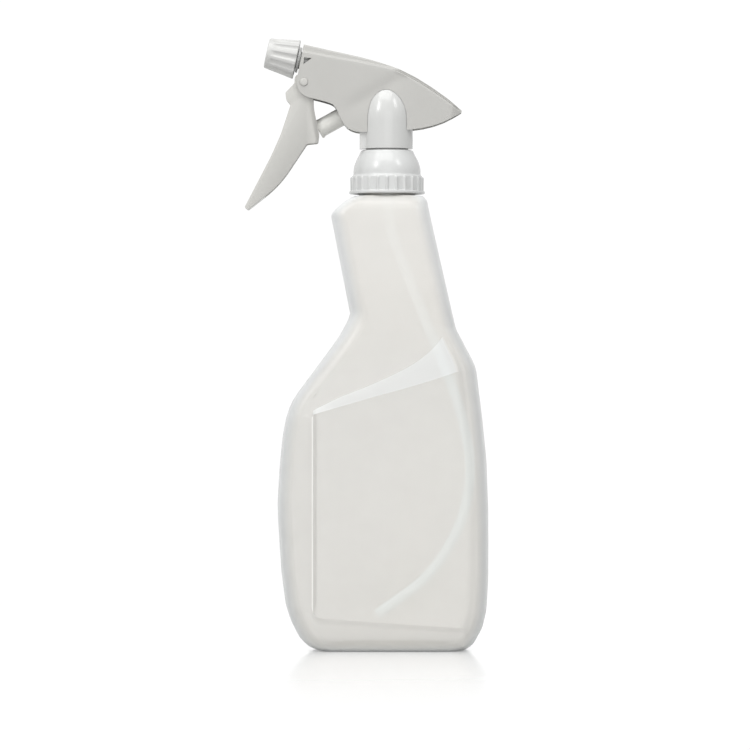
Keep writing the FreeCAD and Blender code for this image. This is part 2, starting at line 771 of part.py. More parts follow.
# Outlet valve: a seat pressed into the barrel, and a ball that rolls back onto it down the barrel's slope.
outlet_seat = new_body("outlet_seat", nozzle)
seat_front = -S.outlet_seat_start + S.outlet_seat_height
revolve(outlet_seat, "outlet_seat_ring", [
    (S.outlet_port_radius, -S.outlet_seat_start),
    (S.barrel_bore - S.press_gap, -S.outlet_seat_start),
    (S.barrel_bore - S.press_gap, seat_front),
    (S.outlet_port_radius, seat_front),
])
outlet_ball = doc.addObject("Part::Sphere", "outlet_ball")
outlet_ball.Label = "outlet_ball"
bind(outlet_ball, Radius=S.outlet_ball_radius)
outlet_rise = root(S.outlet_ball_radius * S.outlet_ball_radius - S.outlet_port_radius * S.outlet_port_radius)
nozzle.place(outlet_ball, seat_front + outlet_rise + S.seal_gap)


# ---------------------------------------------------------------------------------------------------
# Piston: hollow rod with two seals; its spring stands inside it
# ---------------------------------------------------------------------------------------------------

piston = new_body("piston", pump)
seal_bed = S.rod_radius + 0.3
head_radius = S.cylinder_bore - 0.15
seal_tops = (S.rod_length - 0.6, S.rod_length - 0.6 - S.seal_height - 0.9)
revolve(piston, "piston_rod", [
    (0, 0),
    (S.rod_flange_radius, 0, 0.3),
    (S.rod_flange_radius, S.rod_flange_height),
    (S.rod_radius, S.rod_flange_height),
    (S.rod_radius, seal_tops[1] - S.seal_height - 0.6),
    (head_radius, seal_tops[1] - S.seal_height - 0.6),
    (head_radius, seal_tops[1] - S.seal_height),
    (seal_bed, seal_tops[1] - S.seal_height),
    (seal_bed, seal_tops[1]),
    (head_radius, seal_tops[1]),
    (head_radius, seal_tops[0] - S.seal_height),
    (seal_bed, seal_tops[0] - S.seal_height),
    (seal_bed, seal_tops[0]),
    (head_radius, seal_tops[0]),
    (head_radius, S.rod_length),
    (S.rod_bore, S.rod_length),
    (S.rod_bore, S.rod_cap),
    (0, S.rod_cap),
])
for name, top in zip(("piston_cup_seal", "piston_wiper_seal"), seal_tops):
    seal = new_body(name, pump)
    seal_reach = S.cylinder_bore - S.seal_running_gap
    revolve(seal, f"{name}_ring", [
        (seal_bed, top - S.seal_height),
        (seal_reach - 0.25, top - S.seal_height),
        (seal_reach, top - S.seal_height / 2),
        (seal_reach, top),
        (seal_bed, top),
    ])

spring = new_body("return_spring", pump)
spring_start = S.rod_cap + S.spring_wire + S.seal_gap
spring_end = S.cylinder_start + S.cylinder_depth - S.spring_wire - S.seal_gap
spring_section = draw_circle(new_sketch(spring, "spring_section", "XZ_Plane"),
                             S.spring_radius - S.spring_wire, spring_start, S.spring_wire)
spring_helix = feature(spring, "AdditiveHelix", "spring_wire", spring_section)
spring_helix.ReferenceAxis = (spring_section, ["V_Axis"])
spring_helix.Mode = "pitch-height-angle"
bind(spring_helix, Pitch=(spring_end - spring_start) / S.spring_turns, Height=spring_end - spring_start)


# ---------------------------------------------------------------------------------------------------
# Nozzle: fluted cap that screws on the barrel, with its insert, ring and orifice
# ---------------------------------------------------------------------------------------------------

swirl_insert = new_body("swirl_insert", nozzle)
swirl_head_radius = S.barrel_bore + 0.6
revolve(swirl_insert, "swirl_stem", [
    (0, -S.swirl_stem_tail),
    (S.swirl_stem_radius, -S.swirl_stem_tail, 0.4),
    (S.swirl_stem_radius, S.barrel_nose - 3),
    (S.barrel_bore - S.press_gap, S.barrel_nose - 3),
    (S.barrel_bore - S.press_gap, S.barrel_nose + S.seal_gap),
    (swirl_head_radius, S.barrel_nose + S.seal_gap),
    (swirl_head_radius, S.barrel_nose + S.swirl_head_height),
    (0, S.barrel_nose + S.swirl_head_height),
])

oring = doc.addObject("Part::Torus", "nozzle_oring")
oring.Label = "nozzle_oring"
bind(oring, Radius1=S.barrel_radius + S.oring_wire + S.seal_gap, Radius2=S.oring_wire)
nozzle.place(oring, S.oring_place)

nozzle_bore = S.barrel_radius + S.nozzle_thread_depth + S.thread_clearance
orifice_foot = S.nozzle_length - S.nozzle_dish_depth - S.orifice_height
nozzle_cap = new_body("nozzle_cap", nozzle)
revolve(nozzle_cap, "cap_shell", [
    (nozzle_bore, 0),
    (S.nozzle_rear_radius, 0, 0.3),
    (S.nozzle_front_radius, S.nozzle_length, 0.5),
    (S.nozzle_dish_radius + 0.5, S.nozzle_length),
    (S.nozzle_dish_radius, S.nozzle_length - S.nozzle_dish_depth),
    (S.nozzle_chamber_radius, S.nozzle_length - S.nozzle_dish_depth),
    (S.nozzle_chamber_radius, S.nozzle_bore_length),
    (nozzle_bore, S.nozzle_bore_length),
])
flute_sketch = draw_circle(new_sketch(nozzle_cap, "cap_flute_section", "XY_Plane"),
                           S.nozzle_flute_reach, 0, S.nozzle_flute_radius)
cap_flute = feature(nozzle_cap, "Pocket", "cap_flute", flute_sketch, Length=S.nozzle_length)
cap_flute.Reversed = True
cap_flutes = nozzle_cap.newObject("PartDesign::PolarPattern", "cap_flutes")
cap_flutes.Originals = [cap_flute]
cap_flutes.Axis = (origin_plane(nozzle_cap, "Z_Axis"), [""])
cap_flutes.Angle = 360
bind(cap_flutes, Occurrences=S.nozzle_flute_count)
nozzle_cap.Tip = cap_flutes
add_thread(nozzle_cap, "cap_thread", nozzle_bore, S.nozzle_thread_depth,
           S.nozzle_thread_start + S.nozzle_thread_pitch / 2, S.nozzle_thread_turns, S.nozzle_thread_pitch,
           S.nozzle_thread_root, S.nozzle_thread_crest, inside=True)

orifice_disc = new_body("orifice_disc", nozzle)
revolve(orifice_disc, "orifice_plate", [
    (S.orifice_radius, orifice_foot),
    (S.nozzle_chamber_radius - S.press_gap, orifice_foot),
    (S.nozzle_chamber_radius - S.press_gap, orifice_foot + S.orifice_height),
    (S.orifice_radius * 3, orifice_foot + S.orifice_height),
    (S.orifice_radius, orifice_foot + S.orifice_height / 2),
])


# ---------------------------------------------------------------------------------------------------
# Shroud: thin cover over the barrel and dome, open below and at the front
# ---------------------------------------------------------------------------------------------------

shroud = new_body("shroud", neck)
ridge_half = shroud_half - S.ridge_step
face = -(S.barrel_ring_gap + S.barrel_ring_height + S.barrel_ring_gap)
face_top = nozzle_local.point(face, S.barrel_radius + S.ridge_clearance)
face_shoulder = nozzle_local.point(face, 4.8)
face_foot = nozzle_local.point(face, -9.4)
ridge_knee = (-11.0, S.barrel_radius + S.ridge_knee_height)
ridge_rear = (8.0, S.barrel_radius + S.ridge_rear_height)
tail_tip = (34.6, 37.6)
extrude(shroud, "shroud_sides", [
    (*face_shoulder, 0.8),
    (5.0, 56.6, 20),
    (tail_tip[0], tail_tip[1], 1.8),
    (24.0, 32.2, 20),
    (14.0, 30.0, 8),
    (-12.2, 28.6, 2),
    (-17.5, 30.0, 5),
    (-22.2, 39.8, 3),
    (-24.4, 41.5, 3),
    (-37.0, 44.4, 7),
    (*face_foot, 3),
], shroud_half * 2)
extrude(shroud, "shroud_ridge", [
    (*face_top, 1.2),
    (ridge_knee[0], ridge_knee[1], 60),
    (ridge_rear[0], ridge_rear[1], 40),
    (tail_tip[0] - 1, tail_tip[1] + 0.4),
    (20.0, 40.0),
    (-30.0, 55.0),
    nozzle_local.point(face, 0),
], ridge_half * 2)
wall = S.shroud_wall
extrude(shroud, "shroud_inside", [
    (-60.0, ridge_knee[1] + 9.8 - wall),
    (ridge_knee[0], ridge_knee[1] - wall * 1.3, 60),
    (ridge_rear[0], ridge_rear[1] - wall * 1.3, 40),
    (tail_tip[0] - wall * 3, tail_tip[1] + wall * 0.4, 1),
    (26.0, 28.0),
    (-60.0, 20.0),
], (ridge_half - wall) * 2, cut=True)
extrude(shroud, "shroud_inside_sides", [
    (-60.0, 69.6 - wall * 2),
    (5.0, 55.3 - wall * 2, 20),
    (tail_tip[0] - wall * 3, tail_tip[1] - wall, 1),
    (26.0, 28.0),
    (-60.0, 20.0),
], (shroud_half - wall) * 2, cut=True)
# arches where the sleeve and its dome stand through the sides
sleeve_gap = S.sleeve_radius + S.shroud_gap
dome_gap = S.sleeve_dome_height + S.shroud_gap
primitive(shroud, "SubtractiveCylinder", "sleeve_arch", sleeve_foot, Radius=sleeve_gap,
          Height=S.sleeve_height)
primitive(shroud, "SubtractiveEllipsoid", "dome_arch", sleeve_shoulder, Radius1=dome_gap,
          Radius2=sleeve_gap, Radius3=sleeve_gap, Angle1=0)
pivot_sketch = draw_circle(new_sketch(shroud, "pivot_hole_outline", "XZ_Plane"),
                           -S.pivot_reach, S.pivot_height, S.pivot_radius + S.pivot_clearance)
pivot_holes = feature(shroud, "Pocket", "pivot_holes", pivot_sketch, Length=shroud_half * 2 + 2)
pivot_holes.SideType = "Symmetric"


# ---------------------------------------------------------------------------------------------------
# Trigger: channel-section lever on two studs, with a bar that pushes the piston
# ---------------------------------------------------------------------------------------------------

trigger = new_body("trigger", neck)
ear = S.trigger_ear_radius
pivot_x, pivot_z = -S.pivot_reach, S.pivot_height
tw = S.trigger_wall
extrude(trigger, "trigger_lever", [
    (pivot_x - ear + 0.2, pivot_z + ear * 0.7, 2),
    (pivot_x - ear, pivot_z - 0.5, 1),
    (-45.7, 46.4, 1.2),
    (-45.4, 43.4, 1.2),
    (-43.4, 41.0, 1.2),
    (-47.8, 27.6, 40),
    (-52.4, 17.4, 60),
    (-64.2, -5.2, 0.8),
    (-62.4, -6.4, 0.6),
    (-48.2, 5.0, 50),
    (-36.0, 23.4, 1.5),
    (-31.0, 23.9, 1.0),
    (-30.4, 28.0, 6),
    (-33.0, 40.0, 20),
    (pivot_x + ear - 0.2, pivot_z - 1.5, 2),
    (pivot_x + ear - 0.6, pivot_z + ear * 0.7, 2.5),
    (pivot_x, pivot_z + ear * 0.95, 6),
], S.trigger_half_width * 2)
extrude(trigger, "trigger_inside", [
    (pivot_x - ear + tw, pivot_z + ear + 4),
    (pivot_x - ear + tw, pivot_z - 1.0),
    (-45.6 + tw, 45.6, 0.6),
    (-45.4 + tw, 44.0, 0.6),
    (-43.3 + tw, 41.3, 0.6),
    (-47.8 + tw, 27.9, 40),
    (-52.5 + tw * 1.1, 17.9, 60),
    (-61.8 + tw, -1.6, 0.6),
    (-46.0, 2.0),
    (-20.0, 20.0),
    (-20.0, pivot_z + ear + 4),
], (S.trigger_half_width - S.trigger_wall) * 2, cut=True)
stud_sketch = draw_circle(new_sketch(trigger, "pivot_stud_outline", "XZ_Plane"), pivot_x, pivot_z, S.pivot_radius)
pivot_studs = feature(trigger, "Pad", "pivot_studs", stud_sketch,
                      Length=(shroud_half + S.stud_proud) * 2)
pivot_studs.SideType = "Symmetric"
bar_along = -(S.push_bar_radius + S.push_bar_gap)
bar_x = -S.pump_reach + bar_along * cosine(S.pump_slope)
bar_z = S.pump_height + bar_along * sine(S.pump_slope)
bar_width = (S.trigger_half_width - S.trigger_wall / 2) * 2
bar_sketch = draw_circle(new_sketch(trigger, "push_bar_outline", "XZ_Plane"), bar_x, bar_z, S.push_bar_radius)
push_bar = feature(trigger, "Pad", "push_bar", bar_sketch, Length=bar_width)
push_bar.SideType = "Symmetric"
extrude(trigger, "push_bar_web", [
    (bar_x, bar_z - S.push_bar_radius * 0.8),
    (bar_x, bar_z + S.push_bar_radius * 0.8),
    (-46.2, bar_z + S.push_bar_radius * 0.8),
    (-47.0, bar_z - S.push_bar_radius * 0.8),
], bar_width)


# ---------------------------------------------------------------------------------------------------
# Checks and export
# ---------------------------------------------------------------------------------------------------

NODES = [
    bottle, collar, gasket, inlet_seat, inlet_ball, dip_tube, pump_body, outlet_seat, outlet_ball, shroud,
    trigger, piston, doc.getObject("piston_cup_seal"), doc.getObject("piston_wiper_seal"), spring,
    swirl_insert, oring, nozzle_cap, orifice_disc,
]

doc.recompute()
failed = [item.Name for item in doc.Objects if "Invalid" in item.State or "Error" in item.State]
if failed:
    raise RuntimeError(f"failed objects: {failed}")
for node in NODES:
    if node.Shape.isNull() or not node.Shape.isValid() or not node.Shape.Solids:
        raise RuntimeError(f"{node.Label} has no valid solid")

os.makedirs("parts", exist_ok=True)
for node in NODES:
    node.Shape.exportStep(f"parts/{node.Label}.step")
    box = node.Shape.BoundBox
    print(f"{node.Label:18s} solids {len(node.Shape.Solids)} volume {node.Shape.Volume:9.1f} "
          f"x {box.XMin:7.2f} {box.XMax:7.2f} y {box.YMin:7.2f} {box.YMax:7.2f} z {box.ZMin:7.2f} {box.ZMax:7.2f}")
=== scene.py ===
import math

import bmesh
import bpy
import numpy as np
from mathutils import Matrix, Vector


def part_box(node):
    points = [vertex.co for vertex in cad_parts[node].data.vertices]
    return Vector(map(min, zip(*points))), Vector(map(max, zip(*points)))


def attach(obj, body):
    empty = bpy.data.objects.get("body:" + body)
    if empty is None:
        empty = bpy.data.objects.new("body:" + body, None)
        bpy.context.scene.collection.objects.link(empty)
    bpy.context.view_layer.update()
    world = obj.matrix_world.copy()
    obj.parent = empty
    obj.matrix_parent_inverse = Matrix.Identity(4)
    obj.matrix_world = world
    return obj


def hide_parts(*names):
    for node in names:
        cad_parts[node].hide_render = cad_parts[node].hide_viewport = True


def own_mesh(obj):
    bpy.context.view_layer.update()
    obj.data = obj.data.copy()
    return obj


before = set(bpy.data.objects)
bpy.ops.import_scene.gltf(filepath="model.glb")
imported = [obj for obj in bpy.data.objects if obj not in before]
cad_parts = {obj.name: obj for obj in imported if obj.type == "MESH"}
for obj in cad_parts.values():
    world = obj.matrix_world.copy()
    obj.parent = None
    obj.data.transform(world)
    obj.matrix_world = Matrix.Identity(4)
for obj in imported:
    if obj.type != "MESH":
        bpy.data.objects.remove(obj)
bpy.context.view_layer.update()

# ---------------------------------------------------------------------------------------------------
# Bottle. Blow-moulded in natural polyethylene: a belly with a raised panel on each side for a label,
# a sloped shoulder, a grip that leans back, and a round neck with one helical thread. It is hollow,
# with a wall of about a millimetre, and carries the seam of its two mould halves front and rear.

MM = 0.001
bottle_high = Vector(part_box("bottle")[1]) / MM
neck_height = 10.9
crown = bottle_high.z - neck_height
wall = 1.2
seam_proud = 0.14

# silhouette as (height, reach) from the neck axis
front_edge = [
    (0, -31), (1.8, -35.8), (5.9, -39.6), (13, -43.2), (20, -45.4), (35, -47.4), (60, -49), (67, -49.05),
    (82, -48.2), (96, -46.8), (104, -45.3), (110, -43.3), (114, -41), (140, -21.8), (150, -16.3),
    (195.6, -25.2), (198.6, -22.4), (202, -18.3), (203.2, -15.8), (crown, -14.5),
]
rear_edge = [
    (0, 35), (2.3, 38.7), (6, 40.7), (9.5, 42.7), (17, 44.6), (31, 45.4), (47, 45.6), (64, 45.4), (85, 44.6),
    (103, 42.8), (125, 40.1), (128, 39.3), (144, 30.9), (153, 28.8), (197, 18.8), (202, 17.9), (crown, 16.2),
]
half_depth = [
    (0, 20.5), (2, 24), (6, 26), (11, 27), (20, 27.2), (104, 27.2), (150, 23.3), (194, 19.6), (198, 19),
    (201, 17.8), (202.6, 16.4), (crown, 15),
]
front_corner = [
    (0, 9), (20, 7.4), (96, 7.2), (108, 6.2), (128, 8.6), (146, 9.6), (154, 7.4), (198, 6.4), (crown, 8),
]
rear_corner = [(0, 9), (20, 7.3), (128, 7.2), (150, 6.6), (198, 6.2), (crown, 8)]
depth_corner = [(0, 9), (20, 7.2), (110, 7.0), (150, 6.4), (198, 6.0), (crown, 7)]


def along(knots, height, softness=1.2):
    """Straight runs between knots, rounded over the softness each side of a knot."""
    heights, values = zip(*knots)
    reach = min(softness, height - heights[0], heights[-1] - height)
    return float(np.mean(np.interp(height + max(reach, 0) * np.linspace(-1, 1, 9), heights, values)))


panel_left, panel_length, panel_plane = -33.0, 68.5, bottle_high.y
COLUMNS = {"end": 12, "corner": 9, "side": 34}
CHAMFER = 0.12       # how far a corner leans from a round towards a flat chamfer


def section(height):
    """One ring of the bottle: front, corner, side, corner, rear and back along the other side."""
    front, rear = along(front_edge, height), along(rear_edge, height)
    half, depth = along(half_depth, height), along(depth_corner, height)
    fore, aft = along(front_corner, height, 3), along(rear_corner, height, 3)
    crowning = 1.1
    points = []
    for step in range(COLUMNS["end"] // 2):
        y = step / (COLUMNS["end"] / 2) * (half - depth)
        seam = seam_proud if step == 0 else 0
        points.append((front + crowning * (y / (half - depth)) ** 2 - seam, y))
    for step in range(COLUMNS["corner"]):
        share = step / COLUMNS["corner"]
        points.append(corner_point(front + crowning, half, fore - crowning, depth, share, 1))
    start, end = front + fore, rear - aft
    left = max(panel_left, start + 1.4)
    marks = [start, left - 0.7, left, left + 0.25]
    marks += [left + (end - 0.9 - left) * k / (COLUMNS["side"] - 4) for k in range(1, COLUMNS["side"] - 3)]
    points += [(x, half) for x in marks]
    for step in range(COLUMNS["corner"]):
        share = step / COLUMNS["corner"]
        points.append(corner_point(rear - crowning, half, aft - crowning, depth, share, -1))
    for step in range(COLUMNS["end"] // 2):
        y = (1 - step / (COLUMNS["end"] / 2)) * (half - depth)
        points.append((rear - crowning * (y / (half - depth)) ** 2, y))
    points.append((min(rear + seam_proud, bottle_high.x), 0))
    mirrored = [(x, -y) for x, y in points[-2:0:-1]]
    return points + mirrored


def corner_point(end, half, reach, depth, share, direction):
    """A point of a corner between an end face and a side: a quarter ellipse pressed towards a chamfer."""
    turn = share * math.pi / 2
    if direction > 0:
        round_x, round_y = 1 - math.cos(turn), 1 - math.sin(turn)
    else:
        round_x, round_y = 1 - math.sin(turn), 1 - math.cos(turn)
    flat = share if direction > 0 else 1 - share
    x = round_x * (1 - CHAMFER) + flat * CHAMFER
    y = round_y * (1 - CHAMFER) + (1 - flat) * CHAMFER
    return end + direction * x * reach, half - y * depth


def smooth_step(value):
    value = min(max(value, 0), 1)
    return value * value * (3 - 2 * value)


def build(name, vertices, faces):
    """Makes a mesh object from vertices in millimetres."""
    mesh = bpy.data.meshes.new(name)
    mesh.from_pydata([tuple(c * MM for c in v) for v in vertices], [], faces)
    mesh.validate()
    thing = bpy.data.objects.new(name, mesh)
    bpy.context.scene.collection.objects.link(thing)
    tidy = bmesh.new()
    tidy.from_mesh(mesh)
    bmesh.ops.recalc_face_normals(tidy, faces=tidy.faces)
    tidy.to_mesh(mesh)
    tidy.free()
    mesh.shade_smooth()
    return thing


def skin(name, rings, loop=False):
    """Joins rings of equal count with quads. It closes both ends with fans, or runs on to the first."""
    count = len(rings[0])
    vertices = [point for ring in rings for point in ring]
    faces = []
    pairs = list(zip(range(len(rings)), range(1, len(rings))))
    if loop:
        pairs.append((len(rings) - 1, 0))
    for low, high in pairs:
        for k in range(count):
            after = (k + 1) % count
            faces.append((low * count + k, low * count + after, high * count + after, high * count + k))
    if not loop:
        for ring in (0, len(rings) - 1):
            hub = len(vertices)
            vertices.append(tuple(np.mean(rings[ring], axis=0)))
            for k in range(count):
                faces.append((ring * count + k, ring * count + (k + 1) % count, hub))
    return build(name, vertices, faces)


columns = len(section(60))
side_first = COLUMNS["end"] // 2 + COLUMNS["corner"]
side_last = side_first + COLUMNS["side"] - 1


def share_along(column):
    """How far a column lies from the front of the side face, 0, to the rear, 1."""
    if column > columns // 2:
        column = columns - column
    return min(max((column - side_first - 1) / (COLUMNS["side"] - 2), 0), 1)


def key_heights(share):
    """Heights of the panel's borders and of the bottle's bends, for a column at this share of the side."""
    x = panel_left + share * panel_length
    foot = 14.2 - 5.0 * max(share - 0.06, 0) + 5.0 * max(0.10 - share, 0) / 0.10
    ramp_low = 104.4 + (x + 33) * 0.2985
    ramp_high = ramp_low + 1.1 + 15.2 * share ** 1.05
    return [0, foot, foot + 1.0, ramp_low, ramp_high, 151, 192, crown]


ROWS = [10, 1, 34, 7, 14, 16, 18]
EXTRA = {2: (0.004, 0.996), 3: (0.025, 0.97), 4: (0.012,)}
row_kinds = []
for part, count in enumerate(ROWS):
    shares = [step / count for step in range(count)]
    if part == 0:
        shares = [1 - math.cos(share * math.pi / 2) for share in shares]
    row_kinds += [(part, share) for share in sorted(shares + list(EXTRA.get(part, ())))]
row_kinds.append((len(ROWS) - 1, 1.0))
heights = np.array([key_heights(share_along(k)) for k in range(columns)])


def bottle_ring(part, share, inset):
    """One outer ring, or the ring inside it when inset by the wall."""
    ring = []
    for column in range(columns):
        low, high = heights[column][part], heights[column][part + 1]
        height = low + (high - low) * share
        x, y = section_cache(height)[column]
        on_side = side_first + 2 <= min(column, columns - column) <= side_last
        if on_side and 0 < abs(y):
            if part == 2 or (part == 3 and share == 0):
                y = math.copysign(panel_plane, y)
            elif part == 3:
                foot_y = math.copysign(panel_plane, y)
                top = section_cache(high)[column][1]
                y = foot_y + (top - foot_y) * share
        ring.append((x, y, height))
    if inset:
        ring = shrink(ring, inset)
    return ring


cache = {}


def section_cache(height):
    key = round(height, 2)
    if key not in cache:
        cache[key] = section(key)
    return cache[key]


def shrink(ring, inset):
    """Moves a ring's points inwards, square to its outline."""
    flat = np.array([(x, y) for x, y, _ in ring])
    ahead, behind = np.roll(flat, -1, axis=0), np.roll(flat, 1, axis=0)
    tangent = ahead - behind
    tangent /= np.linalg.norm(tangent, axis=1)[:, None]
    normal = np.stack([-tangent[:, 1], tangent[:, 0]], axis=1)
    inward = np.sign(np.sum(normal * (flat.mean(axis=0) - flat), axis=1))[:, None] * normal
    moved = flat + inward * inset
    return [(x, y, z) for (x, y), (_, _, z) in zip(moved, ring)]


outer = [bottle_ring(part, share, 0) for part, share in row_kinds]
inner = [bottle_ring(part, share, wall) for part, share in row_kinds]

# the foot stands on a rim round a shallow recess, inside and out
sole = outer[0]
centre = np.mean([(x, y) for x, y, _ in sole], axis=0)


def sole_ring(size, height):
    return [(centre[0] + (x - centre[0]) * size, y * size, height) for x, y, _ in sole]


recess = [(0.15, 2.3), (0.4, 2.3), (0.66, 2.1), (0.80, 1.3), (0.85, 0.5), (0.89, 0.0), (0.96, 0.0)]
outside_foot = [sole_ring(size, height) for size, height in recess]
inside_foot = [sole_ring(size, height + wall) for size, height in recess]

# the crown runs in to the round neck, whose thread is one ridge of a turn and a quarter
neck_radius, bore_radius = 12.5, 10.75
crown_angles = [math.atan2(y, x) for x, y, _ in outer[-1]]
thread_pitch, thread_depth, thread_start, thread_turns = 4.23, 1.15, 4.4, 1.25


def ridge(angle, height, start, turns, root=1.0, crest=0.45):
    """Height share of a helical ridge at an angle and a height, from 0 to 1."""
    best = 0
    for turn in range(-1, 3):
        swept = (angle % (2 * math.pi)) / (2 * math.pi) + turn
        if 0 <= swept <= turns:
            off = abs(height - start - swept * thread_pitch)
            fade = min(1, swept * 14, (turns - swept) * 14)
            best = max(best, fade * min(1, max(0, (root - off) / (root - crest))))
    return best


def round_ring(radius, height, thread=0):
    ring = []
    for angle in crown_angles:
        reach = radius + thread * ridge(angle, height - crown, thread_start, thread_turns)
        ring.append((reach * math.cos(angle), reach * math.sin(angle), height))
    return ring


def between(first, second, share, height):
    return [(a[0] + (b[0] - a[0]) * share, a[1] + (b[1] - a[1]) * share, height)
            for a, b in zip(first, second)]


neck_foot = round_ring(neck_radius, crown)
crown_rings = [between(outer[-1], neck_foot, share, crown + rise)
               for share, rise in ((0.35, 0.12), (0.75, 0.2), (0.97, 0.35))]
neck_rows = 40
neck_outside = [round_ring(neck_radius, crown + 0.7 + (neck_height - 1.2) * k / neck_rows, thread_depth)
                for k in range(neck_rows + 1)]
neck_rim = [round_ring(neck_radius - 0.15, crown + neck_height - 0.15),
            round_ring(neck_radius - 0.5, crown + neck_height),
            round_ring(bore_radius + 0.4, crown + neck_height),
            round_ring(bore_radius, crown + neck_height - 0.4)]
neck_inside = [round_ring(bore_radius, crown + neck_height - 0.4 - 1.3 * k) for k in range(1, 9)]
# inside the grip the wall turns in to the bore under the crown
inner_top = [between(inner[-10], round_ring(bore_radius, 0), share, crown - 1.6 - 2.4 * (1 - share))
             for share in (0.9, 0.5)]
shell = outside_foot + outer + crown_rings + neck_outside + neck_rim + neck_inside
shell += inner_top + inner[-10::-1] + inside_foot[::-1]
bottle = skin("bottle_shell", shell)

# painted edge light: how near a place is to the outline, where the wall is seen edge-on; there it gets painted
# shade, colder and more opaque, and the ramp facet above the label panel gets a painted highlight
# painted border glint: a painted highlight, a thin glowing line down the front of the label panel
painted_edge_light = bottle.data.attributes.new("painted_edge_light", "FLOAT", "POINT")
painted_border_glint = bottle.data.attributes.new("painted_border_glint", "FLOAT", "POINT")
first_outer = len(outside_foot)
for k, vertex in enumerate(bottle.data.vertices):
    x, y, height = vertex.co / MM
    front, rear = along(front_edge, min(height, crown)), along(rear_edge, min(height, crown))
    inside_by = min(x - front, rear - x, (height + 1) * 1.3)
    near = 1 - smooth_step((inside_by - 1.0) / 6)
    row, column = k // columns - first_outer, min(k % columns, columns - k % columns)
    on_ramp, on_border = False, False
    if 0 <= row < len(row_kinds):
        part, share = row_kinds[row]
        on_ramp = part == 3 and share > 0 and side_first + 3 <= column < side_last
        on_border = part == 2 and column == side_first + 2
    # painted shade near the outline, painted highlight on the ramp facet
    painted_edge_light.data[k].value = max(near, 0.85 if on_ramp else 0)
    # the column that carries the painted highlight down the label panel's front border
    painted_border_glint.data[k].value = 1 if on_border else 0
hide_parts("bottle")
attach(bottle, "bottle")


class Link:
    """An output of a shader node. Sums and products of links add Math nodes."""

    def __init__(self, finish, socket):
        self.finish, self.socket = finish, socket

    def maths(self, operation, first, second):
        return self.finish.node("ShaderNodeMath", {"operation": operation}, {0: first, 1: second})

    def __add__(self, other):
        return self.maths("ADD", self, other)

    def __radd__(self, other):
        return self.maths("ADD", other, self)

    def __sub__(self, other):
        return self.maths("SUBTRACT", self, other)

    def __rsub__(self, other):
        return self.maths("SUBTRACT", other, self)

    def __mul__(self, other):
        return self.maths("MULTIPLY", self, other)

    def __rmul__(self, other):
        return self.maths("MULTIPLY", other, self)


class Finish:
    """A material whose nodes are added one at a time by node()."""

    def __init__(self, name):
        self.material = bpy.data.materials.new(name)
        self.material.use_nodes = True
        self.tree = self.material.node_tree
        self.shader = self.tree.nodes["Principled BSDF"]
        self.place = self.node("ShaderNodeTexCoord", {}, {}, "Object")

    def node(self, kind, settings=(), inputs=(), output=0):
        made = self.tree.nodes.new(kind)
        for key, value in dict(settings).items():
            setattr(made, key, value)
        self.feed(made, inputs)
        return Link(self, made.outputs[output])

    def feed(self, made, inputs=()):
        for key, value in dict(inputs).items():
            if isinstance(value, Link):
                self.tree.links.new(value.socket, made.inputs[key])
            else:
                made.inputs[key].default_value = value

    def noise(self, scale, detail=2.0, stretch=(1, 1, 1)):
        spot = self.node("ShaderNodeMapping", {}, {"Vector": self.place, "Scale": stretch})
        return self.node("ShaderNodeTexNoise", {}, {"Vector": spot, "Scale": scale, "Detail": detail}, "Fac")

    def blend(self, share, first, second):
        return self.node("ShaderNodeMix", {"data_type": "RGBA"}, {"Factor": share, 6: first, 7: second}, 2)

    def bump(self, height, strength, distance):
        return self.node("ShaderNodeBump", {}, {"Height": height, "Strength": strength, "Distance": distance})

    def principled(self, **inputs):
        self.feed(self.shader, {key.replace("_", " "): value for key, value in inputs.items()})

    def wear(self, *things):
        for thing in things:
            thing.data.materials.clear()
            thing.data.materials.append(self.material)


milky = Finish("natural_polyethylene")
cloud = milky.noise(26, 3)
drift = milky.noise(9, 2, (1, 1, 0.4))
grain = milky.noise(900, 3)
flow = milky.noise(60, 4, (1, 1, 0.15))
painted_edge_light_share = milky.node("ShaderNodeAttribute", {"attribute_name": "painted_edge_light"}, {}, "Fac")
painted_border_glint_share = milky.node("ShaderNodeAttribute", {"attribute_name": "painted_border_glint"}, {}, "Fac")
warm = milky.blend(cloud, (0.90, 0.884, 0.848, 1), (0.91, 0.90, 0.872, 1))
warm = milky.blend(drift * drift, warm, (0.92, 0.884, 0.81, 1))
# painted edge light: a colder, more opaque tone, as painted shade at the outline and as a painted highlight on
# the ramp facet
tone = milky.blend(painted_edge_light_share, warm, (0.85, 0.866, 0.862, 1))
tall = milky.node("ShaderNodeSeparateXYZ", {}, {0: milky.place}, 2)
grip = milky.node("ShaderNodeMapRange", {}, {
    "Value": tall, "From Min": 0.125, "From Max": 0.165, "To Min": 0.0, "To Max": 0.26})
cover = 0.34 + cloud * 0.10 + painted_edge_light_share * 0.30 + grip
# the emission paints the highlight on the label panel's front border
milky.principled(Base_Color=tone, Roughness=0.24 + flow * 0.14, Alpha=cover,
                 Normal=milky.bump(grain * 0.25 + flow * 0.5, 0.12, 0.0004), IOR=1.52,
                 Emission_Color=milky.blend(painted_border_glint_share, (0, 0, 0, 1), (1, 1, 1, 1)), Emission_Strength=0.5)
milky.wear(bottle)


# ---------------------------------------------------------------------------------------------------
# Collar. Injection-moulded screw cap in white polypropylene: a foot flange, a band of narrow upright
# ribs for the fingers and a domed shoulder that ends close under the pump's sleeve. It screws on the neck.

